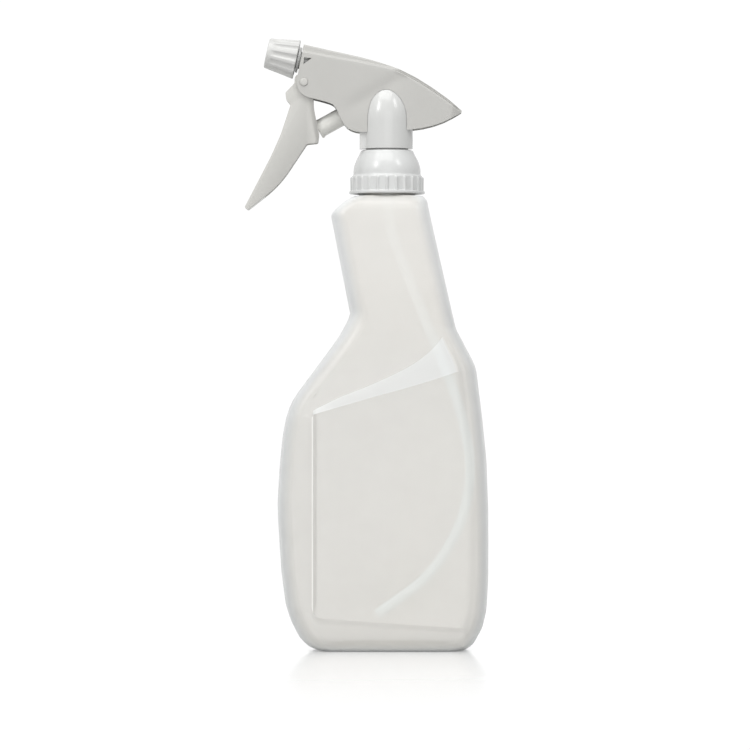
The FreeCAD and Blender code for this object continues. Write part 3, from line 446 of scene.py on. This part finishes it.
collar_low = Vector(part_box("collar")[0]) / MM
rib_count = 24
rib_offsets = (-7.5, -4.6, -3.0, -2.4, -1.9, -1.2, 0, 1.2, 1.9, 2.4, 3.0, 4.6)
rib_angles = [math.radians(360 / rib_count * rib + offset)
              for rib in range(rib_count) for offset in rib_offsets]
collar_bore, stem_hole = 13.95, 9.9
dome_profile = [
    (15.55, 8.2), (15.2, 8.45), (15.12, 9.0), (15.14, 10.0), (15.02, 11.2), (14.75, 12.5), (14.3, 13.9),
    (13.75, 15.2), (13.1, 16.5), (12.45, 17.7), (12.1, 18.5), (11.85, 19.1), (11.5, 19.45),
]


def rib_height(angle, share):
    """How far the band stands out at an angle; the ribs have flat crests and end in a rounded head."""
    off = abs((math.degrees(angle) + 7.5) % 15 - 7.5)
    side = min(1, max(0, (2.55 - off) / 1.25))
    head = 1 - max(0, (share - 0.93) / 0.07) ** 2
    return (0.55 + 0.12 * share) * side * max(head, 0)


def collar_ring(radius, height, rib=None, thread=False):
    ring = []
    for angle in rib_angles:
        reach = radius
        if rib is not None:
            reach += rib_height(angle, rib)
        if thread:
            reach -= thread_depth * ridge(angle, height + 1.1, thread_start - thread_pitch / 2, thread_turns)
        ring.append((reach * math.cos(angle), reach * math.sin(angle), collar_low.z + height))
    return ring


band = [collar_ring(15.88, 1.3 + 6.4 * share, share) for share in np.linspace(0, 1, 14)]
collar_rings = [collar_ring(collar_bore + 0.2, 0), collar_ring(16.7, 0), collar_ring(16.98, 0.12)]
collar_rings += [collar_ring(radius, height)
                 for radius, height in ((17.05, 0.35), (17.05, 0.95), (16.95, 1.18), (16.7, 1.28))]
collar_rings += band
collar_rings += [collar_ring(radius, height) for radius, height in dome_profile]
collar_rings += [collar_ring(11.0, 19.6), collar_ring(stem_hole + 0.15, 19.6), collar_ring(stem_hole, 19.4)]
collar_rings += [collar_ring(stem_hole, height) for height in (17.0, 13.6)]
collar_rings += [collar_ring(collar_bore, 13.55)]
collar_rings += [collar_ring(collar_bore, height, None, True) for height in np.linspace(12.5, 0.6, 34)]


collar = skin("collar_cap", collar_rings, loop=True)
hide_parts("collar")
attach(collar, "collar")


def white_plastic(name, first, second, gloss):
    """Moulded polypropylene: faint flow marks in the colour and sheen, and a fine spark-eroded surface."""
    finish = Finish(name)
    clouds = finish.noise(40, 3)
    streaks = finish.noise(90, 4, (0.25, 1, 1))
    fine = finish.noise(1800, 2)
    colour = finish.blend(clouds, first, second)
    finish.principled(Base_Color=colour, Roughness=gloss + streaks * 0.12 + fine * 0.05,
                      Normal=finish.bump(fine * 0.4 + streaks * 0.6, 0.08, 0.0002), IOR=1.49)
    return finish


white_plastic("collar_polypropylene", (0.66, 0.67, 0.66, 1), (0.70, 0.705, 0.70, 1), 0.14).wear(collar)


# ---------------------------------------------------------------------------------------------------
# Neck gasket, inlet seat, ball and dip tube. A foam ring, a moulded seat, a steel ball
# and a soft natural tube pressed into the seat; only the tube shows, faintly, through the bottle, lit by a
# painted glow.

gasket_foam = Finish("expanded_polyethylene")
cells = gasket_foam.node("ShaderNodeTexVoronoi", {}, {"Vector": gasket_foam.place, "Scale": 1600}, "Distance")
gasket_foam.principled(Base_Color=gasket_foam.blend(cells, (0.72, 0.72, 0.70, 1), (0.88, 0.88, 0.86, 1)),
                       Roughness=0.7 + cells * 0.2, Normal=gasket_foam.bump(cells, 0.5, 0.0002))
gasket_foam.wear(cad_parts["neck_gasket"])

# the tube carries a painted glow: emission that lights it inside the shade of the bottle
glowing_tube_plastic = Finish("soft_polyethylene_painted_glow")
tube_waves = glowing_tube_plastic.noise(120, 2, (1, 1, 0.1))
glowing_tube_plastic.principled(Base_Color=glowing_tube_plastic.blend(tube_waves, (0.80, 0.88, 0.90, 1), (0.86, 0.93, 0.95, 1)),
                        Roughness=0.3 + tube_waves * 0.2, Normal=glowing_tube_plastic.bump(tube_waves, 0.2, 0.0002),
                        Emission_Color=(0.86, 0.94, 0.96, 1), Emission_Strength=0.34)
glowing_tube_plastic.wear(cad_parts["dip_tube"])

inner_plastic = white_plastic("inner_polypropylene", (0.74, 0.74, 0.72, 1), (0.80, 0.80, 0.78, 1), 0.30)
inner_plastic.wear(*[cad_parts[name]
                     for name in ("inlet_seat", "outlet_seat", "swirl_insert", "orifice_disc")])

steel = Finish("polished_steel")
lapping = steel.noise(700, 4)
steel.principled(Base_Color=steel.blend(lapping, (0.52, 0.52, 0.53, 1), (0.62, 0.62, 0.62, 1)), Metallic=1.0,
                 Roughness=0.12 + lapping * 0.12, Normal=steel.bump(lapping, 0.1, 0.0001))
steel.wear(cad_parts["inlet_ball"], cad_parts["outlet_ball"])


# ---------------------------------------------------------------------------------------------------
# Pump body. One glossy polypropylene moulding: the sleeve with its dome, the spine strip in front, the
# inclined cylinder and the barrel that carries the nozzle. The shroud covers all but the sleeve.

pump_plastic = white_plastic("pump_polypropylene", (0.63, 0.635, 0.62, 1), (0.67, 0.675, 0.665, 1), 0.10)
pump_plastic.wear(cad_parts["pump_body"])


# ---------------------------------------------------------------------------------------------------
# Shroud. A thin white cover snapped over the barrel: two flat sides, a narrower ridge on top that
# fades into the back, and a tail. It is open below, with an arch in each side for the pump's dome.

half_side, half_ridge, shroud_wall = 7.78, 6.05, 1.1
shroud_high = Vector(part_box("shroud")[1]) / MM
tail = (shroud_high.x - 0.15, 38.0)
lower_edge = [
    (-40.7, 51.6), (-40.45, 49.8), (-39.6, 47.4), (-38.2, 45.6), (-36.0, 44.4), (-30.0, 42.95), (-25.4, 41.65),
    (-23.6, 40.6), (-22.4, 38.6), (-21.0, 35.4), (-19.4, 32.4), (-17.4, 30.3), (-15.2, 29.2), (-12.6, 28.65),
    (-9.0, 28.7), (0.0, 29.1), (10.0, 29.7), (16.0, 30.5), (21.0, 31.7), (25.5, 33.3), (29.5, 35.3),
    (32.2, 36.8), (tail[0], tail[1] - 0.45),
]
ledge_line = [
    (-37.95, 65.3), (-26.0, 62.9), (-12.0, 60.4), (0.0, 57.9), (6.0, 55.6), (13.0, 51.9), (20.0, 47.5),
    (27.0, 42.7), (31.5, 39.3), (tail[0] + 0.05, tail[1] + 0.1),
]
ridge_line = [
    (-37.4, 68.1), (-26.0, 65.5), (-12.0, 62.4), (-5.0, 60.5), (1.0, 58.6), (6.0, 56.7), (13.0, 53.2),
    (20.0, 48.8), (27.0, 43.8), (31.5, 40.0), (tail[0] + 0.05, tail[1] + 0.35),
]


def resample(line, count):
    """Evenly spaced points on a smooth curve through the knots."""
    knots = np.array(line, float)
    spans = np.concatenate([[0], np.cumsum(np.linalg.norm(np.diff(knots, axis=0), axis=1))])
    places = np.linspace(0, spans[-1], count)
    soft = []
    for place in places:
        reach = min(1.1, place, spans[-1] - place)
        near = place + reach * np.linspace(-1, 1, 7)
        soft.append([float(np.mean(np.interp(near, spans, knots[:, axis]))) for axis in (0, 1)])
    return soft


def sheet_solid(name, outside, inside):
    """A thick sheet: two grids of equal size, joined round their borders."""
    rows, columns_here = len(outside), len(outside[0])
    vertices = [point for row in outside for point in row] + [point for row in inside for point in row]
    shift = rows * columns_here
    faces = []
    for r in range(rows - 1):
        for c in range(columns_here - 1):
            a = r * columns_here + c
            faces.append((a, a + 1, a + columns_here + 1, a + columns_here))
            faces.append(tuple(shift + k for k in (a, a + columns_here, a + columns_here + 1, a + 1)))
    edge = [(0, c) for c in range(columns_here)] + [(r, columns_here - 1) for r in range(1, rows)]
    edge += [(rows - 1, c) for c in range(columns_here - 2, -1, -1)]
    edge += [(r, 0) for r in range(rows - 2, 0, -1)]
    marks = [r * columns_here + c for r, c in edge]
    for k, mark in enumerate(marks):
        after = marks[(k + 1) % len(marks)]
        faces.append((mark, after, shift + after, shift + mark))
    return build(name, vertices, faces)


def fold(x, height):
    """The shallow trough in the sides, from the ridge's end down towards the lower front edge."""
    start, end = np.array((9.0, 53.5)), np.array((-18.0, 37.0))
    run = end - start
    length = np.linalg.norm(run)
    place = np.array((x, height)) - start
    share = float(place @ run) / length ** 2
    off = float(place[0] * run[1] - place[1] * run[0]) / length
    fade = smooth_step((share + 0.1) / 0.3) * smooth_step((1.15 - share) / 0.4)
    return 0.55 * fade * math.exp(-((off - 1.0) / 3.4) ** 2)


shroud_rows = 120
low_run, ledge_run, ridge_run = [resample(line, shroud_rows) for line in (lower_edge, ledge_line, ridge_line)]


def shroud_row(low, ledge, top, wall_here):
    """One line across the cover, from the lower edge on the near side, over the ridge, to the far side."""
    taper = smooth_step((tail[0] + 1.5 - low[0]) / 7)
    tall = top[1] - low[1]
    drop = min(wall_here * 1.15, tall * 0.45)
    side = half_side - 2.6 * (1 - taper) - wall_here
    ridge_half = min(half_ridge + 1.35 * smooth_step((ledge[0] + 1) / 7), half_side - 0.4)
    ridge_half = ridge_half - 2.6 * (1 - taper) - wall_here
    top_h = top[1] - drop
    ledge_h = min(ledge[1] - drop, top_h - 0.05)
    radius = min(1.0, 0.35 * (ledge_h - low[1]))
    line = []
    for share in np.linspace(0, 1, 22):
        x = low[0] + (ledge[0] - low[0]) * share
        height = low[1] + (ledge_h - radius - low[1]) * share
        line.append((x, side - (0 if wall_here else fold(x, height)), height))
    rise = top_h - ledge_h
    for turn in (0.25, 0.6, 1.0):
        angle = turn * math.pi / 2
        line.append((ledge[0], side - 0.9 * radius * (1 - math.cos(angle)),
                     ledge_h - radius * (1 - math.sin(angle))))
    for share, out in ((0.0, 0.22), (0.12, 0.04), (0.6, -0.02)):
        line.append((ledge[0] + (top[0] - ledge[0]) * share, min(ridge_half + out, side - 0.6 * radius),
                     ledge_h + rise * share))
    bend = min(0.38 * rise, 0.75)
    for turn in (0.2, 0.5, 0.8, 1.0):
        angle = turn * math.pi / 2
        line.append((top[0], ridge_half - 0.02 - bend * (1 - math.cos(angle)),
                     top_h - bend * (1 - math.sin(angle))))
    for share in (0.66, 0.33, 0):
        line.append((top[0], (ridge_half - bend) * share, top_h + 0.28 * (1 - share ** 2)))
    far = [(x, -y, z) for x, y, z in line[-2::-1]]
    return [(x, y, z + crown) for x, y, z in line + far]


runs = list(zip(low_run, ledge_run, ridge_run))
shroud_outside = [shroud_row(low, ledge, top, 0) for low, ledge, top in runs]
shroud_inside = [shroud_row(low, ledge, top, shroud_wall) for low, ledge, top in runs]
shroud = sheet_solid("shroud_cover", shroud_outside, shroud_inside)


def lathe(name, profile, axis, origin, count=96):
    """Turns (radius, along) points about an axis. A profile that starts and ends on the axis is closed."""
    frame_turn = Vector((0, 0, 1)).rotation_difference(Vector(axis)).to_matrix()
    rings_here = []
    for radius, along_axis in profile:
        ring = []
        for k in range(count):
            angle = 2 * math.pi * k / count
            spot = frame_turn @ Vector((radius * math.cos(angle), radius * math.sin(angle), along_axis))
            ring.append(tuple(spot + Vector(origin)))
        rings_here.append(ring)
    return skin(name, rings_here)


def prism(name, outline, low_y, high_y):
    """A flat outline in X and Z, thick in Y."""
    count = len(outline)
    vertices = [(x, low_y, z) for x, z in outline] + [(x, high_y, z) for x, z in outline]
    faces = [tuple(range(count)), tuple(range(2 * count - 1, count - 1, -1))]
    faces += [(k, (k + 1) % count, count + (k + 1) % count, count + k) for k in range(count)]
    return build(name, vertices, faces)


def settle(thing):
    """Applies an object's modifiers to its mesh."""
    shape = bpy.data.meshes.new_from_object(thing.evaluated_get(bpy.context.evaluated_depsgraph_get()))
    thing.modifiers.clear()
    thing.data = shape
    return thing


def carve(thing, tools, operation="DIFFERENCE"):
    """Cuts each tool from a piece, or joins it, and removes the tool."""
    for tool in tools:
        cut = thing.modifiers.new("carve", "BOOLEAN")
        cut.operation, cut.object, cut.solver = operation, tool, "EXACT"
        bpy.context.view_layer.update()
        settle(thing)
        bpy.data.objects.remove(tool)
    return thing


def soften(thing, radius, angle=35, segments=3):
    """Rounds the sharp edges of a piece and keeps its flat faces flat."""
    rounding = thing.modifiers.new("soften", "BEVEL")
    rounding.width, rounding.segments, rounding.angle_limit = radius * MM, segments, math.radians(angle)
    rounding.limit_method, rounding.harden_normals = "ANGLE", True
    bpy.context.view_layer.update()
    settle(thing)
    thing.data.shade_smooth()
    return thing


sleeve_gap, dome_top, sleeve_shoulder = 11.8, 17.6, crown + 34.0
arch_profile = [(sleeve_gap, crown + 18.0), (sleeve_gap, sleeve_shoulder)]
arch_profile += [(sleeve_gap * math.cos(turn), sleeve_shoulder + dome_top * math.sin(turn))
                 for turn in np.linspace(0.05, 1.53, 30)]
arch = lathe("arch_tool", arch_profile, (0, 0, 1), (0, 0, 0), 128)
pivot = Vector((-37.3, 0, crown + 51.1))
pivot_tool = lathe("pivot_tool", [(1.85, -12), (1.85, 12)], (0, 1, 0), pivot, 48)
window_corners = [(-37.2, crown + 62.1), (-33.7, crown + 61.8), (-37.5, crown + 59.1)]
window_tool = prism("window_tool", window_corners, -9, 9)
carve(shroud, [arch, pivot_tool, window_tool])
soften(shroud, 0.18, 50, 2)
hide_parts("shroud")
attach(shroud, "head")

shroud_plastic = white_plastic("shroud_polypropylene", (0.50, 0.495, 0.47, 1), (0.54, 0.535, 0.515, 1), 0.26)
shroud_plastic.wear(shroud)


# ---------------------------------------------------------------------------------------------------
# Trigger. A white channel-section lever, flat at the sides and open behind, with a round ear on two
# studs in the shroud's cheeks, a knuckle in front and a bar across the channel that pushes the piston.

def rounded(corners, steps=10):
    """A closed outline whose corners (x, z, radius) are rounded by arcs."""
    outline = []
    count = len(corners)
    for k, (x, z, radius) in enumerate(corners):
        here = Vector((x, z))
        back = (Vector(corners[k - 1][:2]) - here).normalized()
        ahead = (Vector(corners[(k + 1) % count][:2]) - here).normalized()
        half = back.angle(ahead) / 2
        if radius < 0.01 or half > 1.55:
            outline.append((x, z))
            continue
        middle = here + (back + ahead).normalized() * radius / math.sin(half)
        first, last = here + back * radius / math.tan(half), here + ahead * radius / math.tan(half)
        start, end = first - middle, last - middle
        from_angle = math.atan2(start.y, start.x)
        swing = math.atan2(end.y, end.x) - from_angle
        swing = (swing + math.pi) % (2 * math.pi) - math.pi
        for step in range(steps + 1):
            angle = from_angle + swing * step / steps
            outline.append((middle.x + radius * math.cos(angle), middle.y + radius * math.sin(angle)))
    return outline


def at_crown(corners):
    return [(x, z + crown, radius) for x, z, radius in corners]


lever_corners = at_crown([
    (-41.4, 54.1, 2), (-41.6, 50.6, 1), (-45.6, 46.4, 1.2), (-45.3, 43.4, 1.2), (-43.3, 41.0, 1.2),
    (-47.7, 27.6, 40), (-52.3, 17.4, 60), (-64.0, -5.1, 0.8), (-62.4, -6.2, 0.6), (-48.2, 5.0, 50),
    (-36.0, 23.4, 1.5), (-31.0, 23.9, 1.0), (-30.5, 28.0, 6), (-33.0, 40.0, 20), (-33.2, 49.6, 2),
    (-33.6, 54.1, 2.5), (-37.3, 55.15, 6),
])
lever = prism("trigger_lever", rounded(lever_corners), -6.3, 6.3)
channel_corners = at_crown([
    (-40.3, 59.0, 0), (-40.3, 50.1, 0), (-44.3, 45.6, 0.6), (-44.1, 44.0, 0.6), (-42.0, 41.3, 0.6),
    (-46.5, 27.9, 40), (-51.1, 17.9, 60), (-60.5, -1.6, 0.6), (-46.0, 2.0, 0), (-20.0, 20.0, 0), (-20.0, 59.0, 0),
])
channel = prism("channel_tool", rounded(channel_corners), -5.0, 5.0)
carve(lever, [channel])
soften(lever, 0.38, 40, 3)
push_start = Vector((-31.0, 0, crown + 30.1))
slope = math.radians(29)
pump_line = Vector((math.cos(slope), 0, math.sin(slope)))
bar_centre = push_start - pump_line * 1.34
rib_outline = [(-36.3, 46.0), (-33.6, 46.0), (-33.15, 40.0), (-30.8, 28.0), (-31.3, 24.35), (-32.4, 24.25),
               (-32.7, 27.0)]
rear_rib = prism("rear_rib", [(x, z + crown) for x, z in rib_outline], -6.45, 6.45)
bar = lathe("push_bar", [(1.2, -5.5), (1.2, 5.5)], (0, 1, 0), bar_centre, 40)
plate = prism("push_plate", [(bar_centre.x, bar_centre.z - 0.9), (bar_centre.x, bar_centre.z + 0.9),
                             (-45.4, bar_centre.z + 0.9), (-46.2, bar_centre.z - 0.9)], -5.5, 5.5)
stud_profile = [(1.8, -7.8), (1.78, -8.0), (1.6, -8.2), (1.1, -8.28)]
stud_profile = stud_profile[::-1] + [(radius, -spot) for radius, spot in stud_profile]
studs = lathe("pivot_studs", stud_profile, (0, 1, 0), pivot, 48)
between_ribs = [(-50, crown), (-20, crown), (-20, crown + 60), (-50, crown + 60)]
carve(rear_rib, [prism("rib_tool", between_ribs, -5.6, 5.6)])
carve(lever, [rear_rib, bar, plate, studs], "UNION")
lever.data.shade_smooth()
lever.data.set_sharp_from_angle(angle=math.radians(38))
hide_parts("trigger")
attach(lever, "trigger")
white_plastic("trigger_polypropylene", (0.56, 0.555, 0.525, 1), (0.60, 0.595, 0.57, 1), 0.24).wear(lever)


# ---------------------------------------------------------------------------------------------------
# Piston, its two seals and the return spring. The rod is a plain white moulding, the seals are rubber
# and the spring is drawn steel wire, coiled at one length between the rod and the end of the cylinder.

rod_plastic = white_plastic("rod_polypropylene", (0.70, 0.70, 0.66, 1), (0.76, 0.755, 0.72, 1), 0.2)
rod_plastic.wear(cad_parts["piston"])

rubber = Finish("seal_rubber")
dust = rubber.noise(260, 4)
rubber.principled(Base_Color=rubber.blend(dust, (0.03, 0.03, 0.032, 1), (0.07, 0.07, 0.072, 1)),
                  Roughness=0.5 + dust * 0.25, Normal=rubber.bump(dust, 0.3, 0.0001))
rubber.wear(*[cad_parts[name] for name in ("piston_cup_seal", "piston_wiper_seal", "nozzle_oring")])

coil_radius, wire_radius, coil_start, coil_end, coil_turns = 2.4, 0.34, 3.4, 28.1, 9
across = Vector((0, 1, 0))
upwards = pump_line.cross(across)
coil_rings = []
coil_steps = coil_turns * 28
section_angles = [k * math.pi / 4 for k in range(8)]
for step in range(coil_steps + 1):
    share = step / coil_steps
    angle = 2 * math.pi * coil_turns * share
    spoke = across * math.cos(angle) + upwards * math.sin(angle)
    centre_line = push_start + pump_line * (coil_start + (coil_end - coil_start) * share) + spoke * coil_radius
    coil_rings.append([tuple(centre_line + (spoke * math.cos(turn) + pump_line * math.sin(turn)) * wire_radius)
                       for turn in section_angles])
coil = skin("return_spring_coil", coil_rings)
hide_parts("return_spring")
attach(coil, "head")
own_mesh(coil)
wire = Finish("spring_wire")
drawn = wire.noise(900, 2, (1, 8, 1))
wire.principled(Base_Color=wire.blend(drawn, (0.45, 0.45, 0.46, 1), (0.58, 0.58, 0.58, 1)), Metallic=1.0,
                Roughness=0.22 + drawn * 0.2, Normal=wire.bump(drawn, 0.15, 0.0001))
wire.wear(coil)


# ---------------------------------------------------------------------------------------------------
# Nozzle cap. A tapered white cap with twelve flutes for the fingers and a dished front; it screws on
# the barrel and opens, narrows or shuts the spray as it turns.

nozzle_slope = math.radians(12.45)
nozzle_line = Vector((-math.cos(nozzle_slope), 0, math.sin(nozzle_slope)))
nozzle_start = Vector((-40.6, 0, crown + 61.6))
side_line = Vector((0, 1, 0))
up_line = side_line.cross(nozzle_line)
flute_offsets = (-15, -12.2, -10.4, -9.2, -8.2, -6.2, -3.2, 0, 3.2, 6.2, 8.2, 9.2, 10.4, 12.2)
flute_angles = [math.radians(30 * flute + offset) for flute in range(12) for offset in flute_offsets]


def flute_depth(angle, place):
    """The flutes are scallops between flat lands; they run out before the front edge."""
    off = abs((math.degrees(angle) + 15) % 30 - 15)
    scallop = max(0, 1 - (off / 9.6) ** 2) ** 0.6
    return 1.05 * scallop * smooth_step((12.9 - place) / 3.5) * (1 - 0.35 * place / 13)


def cap_ring(radius, place, fluted=False):
    ring = []
    for angle in flute_angles:
        reach = radius - (flute_depth(angle, place) if fluted else 0)
        spot = nozzle_start + nozzle_line * place
        spot = spot + (side_line * math.cos(angle) + up_line * math.sin(angle)) * reach
        ring.append(tuple(spot))
    return ring


cap_rings = [cap_ring(8.55, 0.0, True), cap_ring(8.8, 0.1, True), cap_ring(8.88, 0.35, True)]
cap_rings += [cap_ring(8.9 - 2.1 * share, 0.35 + 13.0 * share, True) for share in np.linspace(0.04, 1, 22)]
cap_rings += [cap_ring(6.7, 13.6), cap_ring(6.45, 13.78), cap_ring(5.3, 13.78), cap_ring(5.05, 13.7)]
cap_rings += [cap_ring(4.6, 13.2), cap_ring(3.5, 13.2), cap_ring(3.42, 13.1), cap_ring(3.42, 10.6)]
cap_rings += [cap_ring(5.1, 10.6), cap_ring(5.1, 0.2), cap_ring(5.3, 0.0)]
cap = skin("nozzle_knob", cap_rings, loop=True)
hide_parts("nozzle_cap")
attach(cap, "nozzle")
white_plastic("nozzle_polypropylene", (0.60, 0.60, 0.585, 1), (0.65, 0.65, 0.635, 1), 0.22).wear(cap)


# ---------------------------------------------------------------------------------------------------
# Stage, light and camera. A pale glossy sweep that ends a little behind the bottle against a white
# background, two softboxes, a wide light above and a weak fill in front, and a long lens at mid height.

floor = build("floor", [(-900, -1500, 0), (900, -1500, 0), (900, 380, 0), (-900, 380, 0)], [(0, 1, 2, 3)])
ground = Finish("pale_floor")
seen_straight = ground.node("ShaderNodeLightPath")
haze = ground.noise(3, 2)
apart = ground.node("ShaderNodeSeparateXYZ", {}, {0: ground.place}, 1)
fade = ground.node("ShaderNodeMapRange", {}, {
    "Value": apart, "From Min": -0.02, "From Max": -0.7, "To Min": 0.0, "To Max": 1.0})
ground.principled(Base_Color=ground.blend(haze, (0.70, 0.70, 0.70, 1), (0.73, 0.73, 0.73, 1)),
                  Roughness=0.10 + fade * 0.55 + haze * 0.04,
                  Emission_Color=ground.blend(seen_straight, (0.17, 0.17, 0.17, 1), (1, 1, 1, 1)),
                  Emission_Strength=0.22)
ground.wear(floor)

world = bpy.data.worlds.new("studio")
bpy.context.scene.world = world
world.use_nodes = True
sky = world.node_tree
background = sky.nodes["Background"]
rays = sky.nodes.new("ShaderNodeLightPath")
direct = sky.nodes.new("ShaderNodeMath")
direct.operation = "MAXIMUM"
sky.links.new(rays.outputs["Is Camera Ray"], direct.inputs[0])
sky.links.new(rays.outputs["Is Glossy Ray"], direct.inputs[1])
seen = sky.nodes.new("ShaderNodeMapRange")
seen.inputs["To Min"].default_value = 0.31
seen.inputs["To Max"].default_value = 1.03
sky.links.new(direct.outputs[0], seen.inputs["Value"])
sky.links.new(seen.outputs["Result"], background.inputs["Strength"])
background.inputs["Color"].default_value = (1, 1, 1, 1)


def softbox(name, place, target, width, height, power):
    lamp = bpy.data.lights.new(name, "AREA")
    lamp.shape, lamp.size, lamp.size_y, lamp.energy = "RECTANGLE", width, height, power
    thing = bpy.data.objects.new(name, lamp)
    bpy.context.scene.collection.objects.link(thing)
    thing.location = place
    thing.rotation_euler = (Vector(target) - Vector(place)).to_track_quat("-Z", "Y").to_euler()


softbox("softbox_left", (-0.70, -0.75, 0.85), (0, 0, 0.17), 0.26, 0.40, 3.4)
softbox("softbox_right", (0.62, -0.60, 0.90), (0, 0, 0.17), 0.24, 0.36, 1.8)
softbox("top_light", (-0.15, -0.45, 1.25), (0, 0, 0.15), 1.1, 0.7, 8.5)
softbox("front_fill", (0.2, -1.9, 0.5), (0, 0, 0.13), 1.2, 0.9, 3.4)

lens_width, distance, view_width = 36.0, 2.0, 0.3375
camera = bpy.data.objects.new("camera", bpy.data.cameras.new("camera"))
bpy.context.scene.collection.objects.link(camera)
camera.data.sensor_width = lens_width
camera.data.lens = lens_width * distance / view_width
camera.location = (-0.0054, -distance, 0.1233)
camera.rotation_euler = (math.pi / 2, 0, 0)
bpy.context.scene.camera = camera
bpy.context.scene.view_settings.view_transform = "Standard"
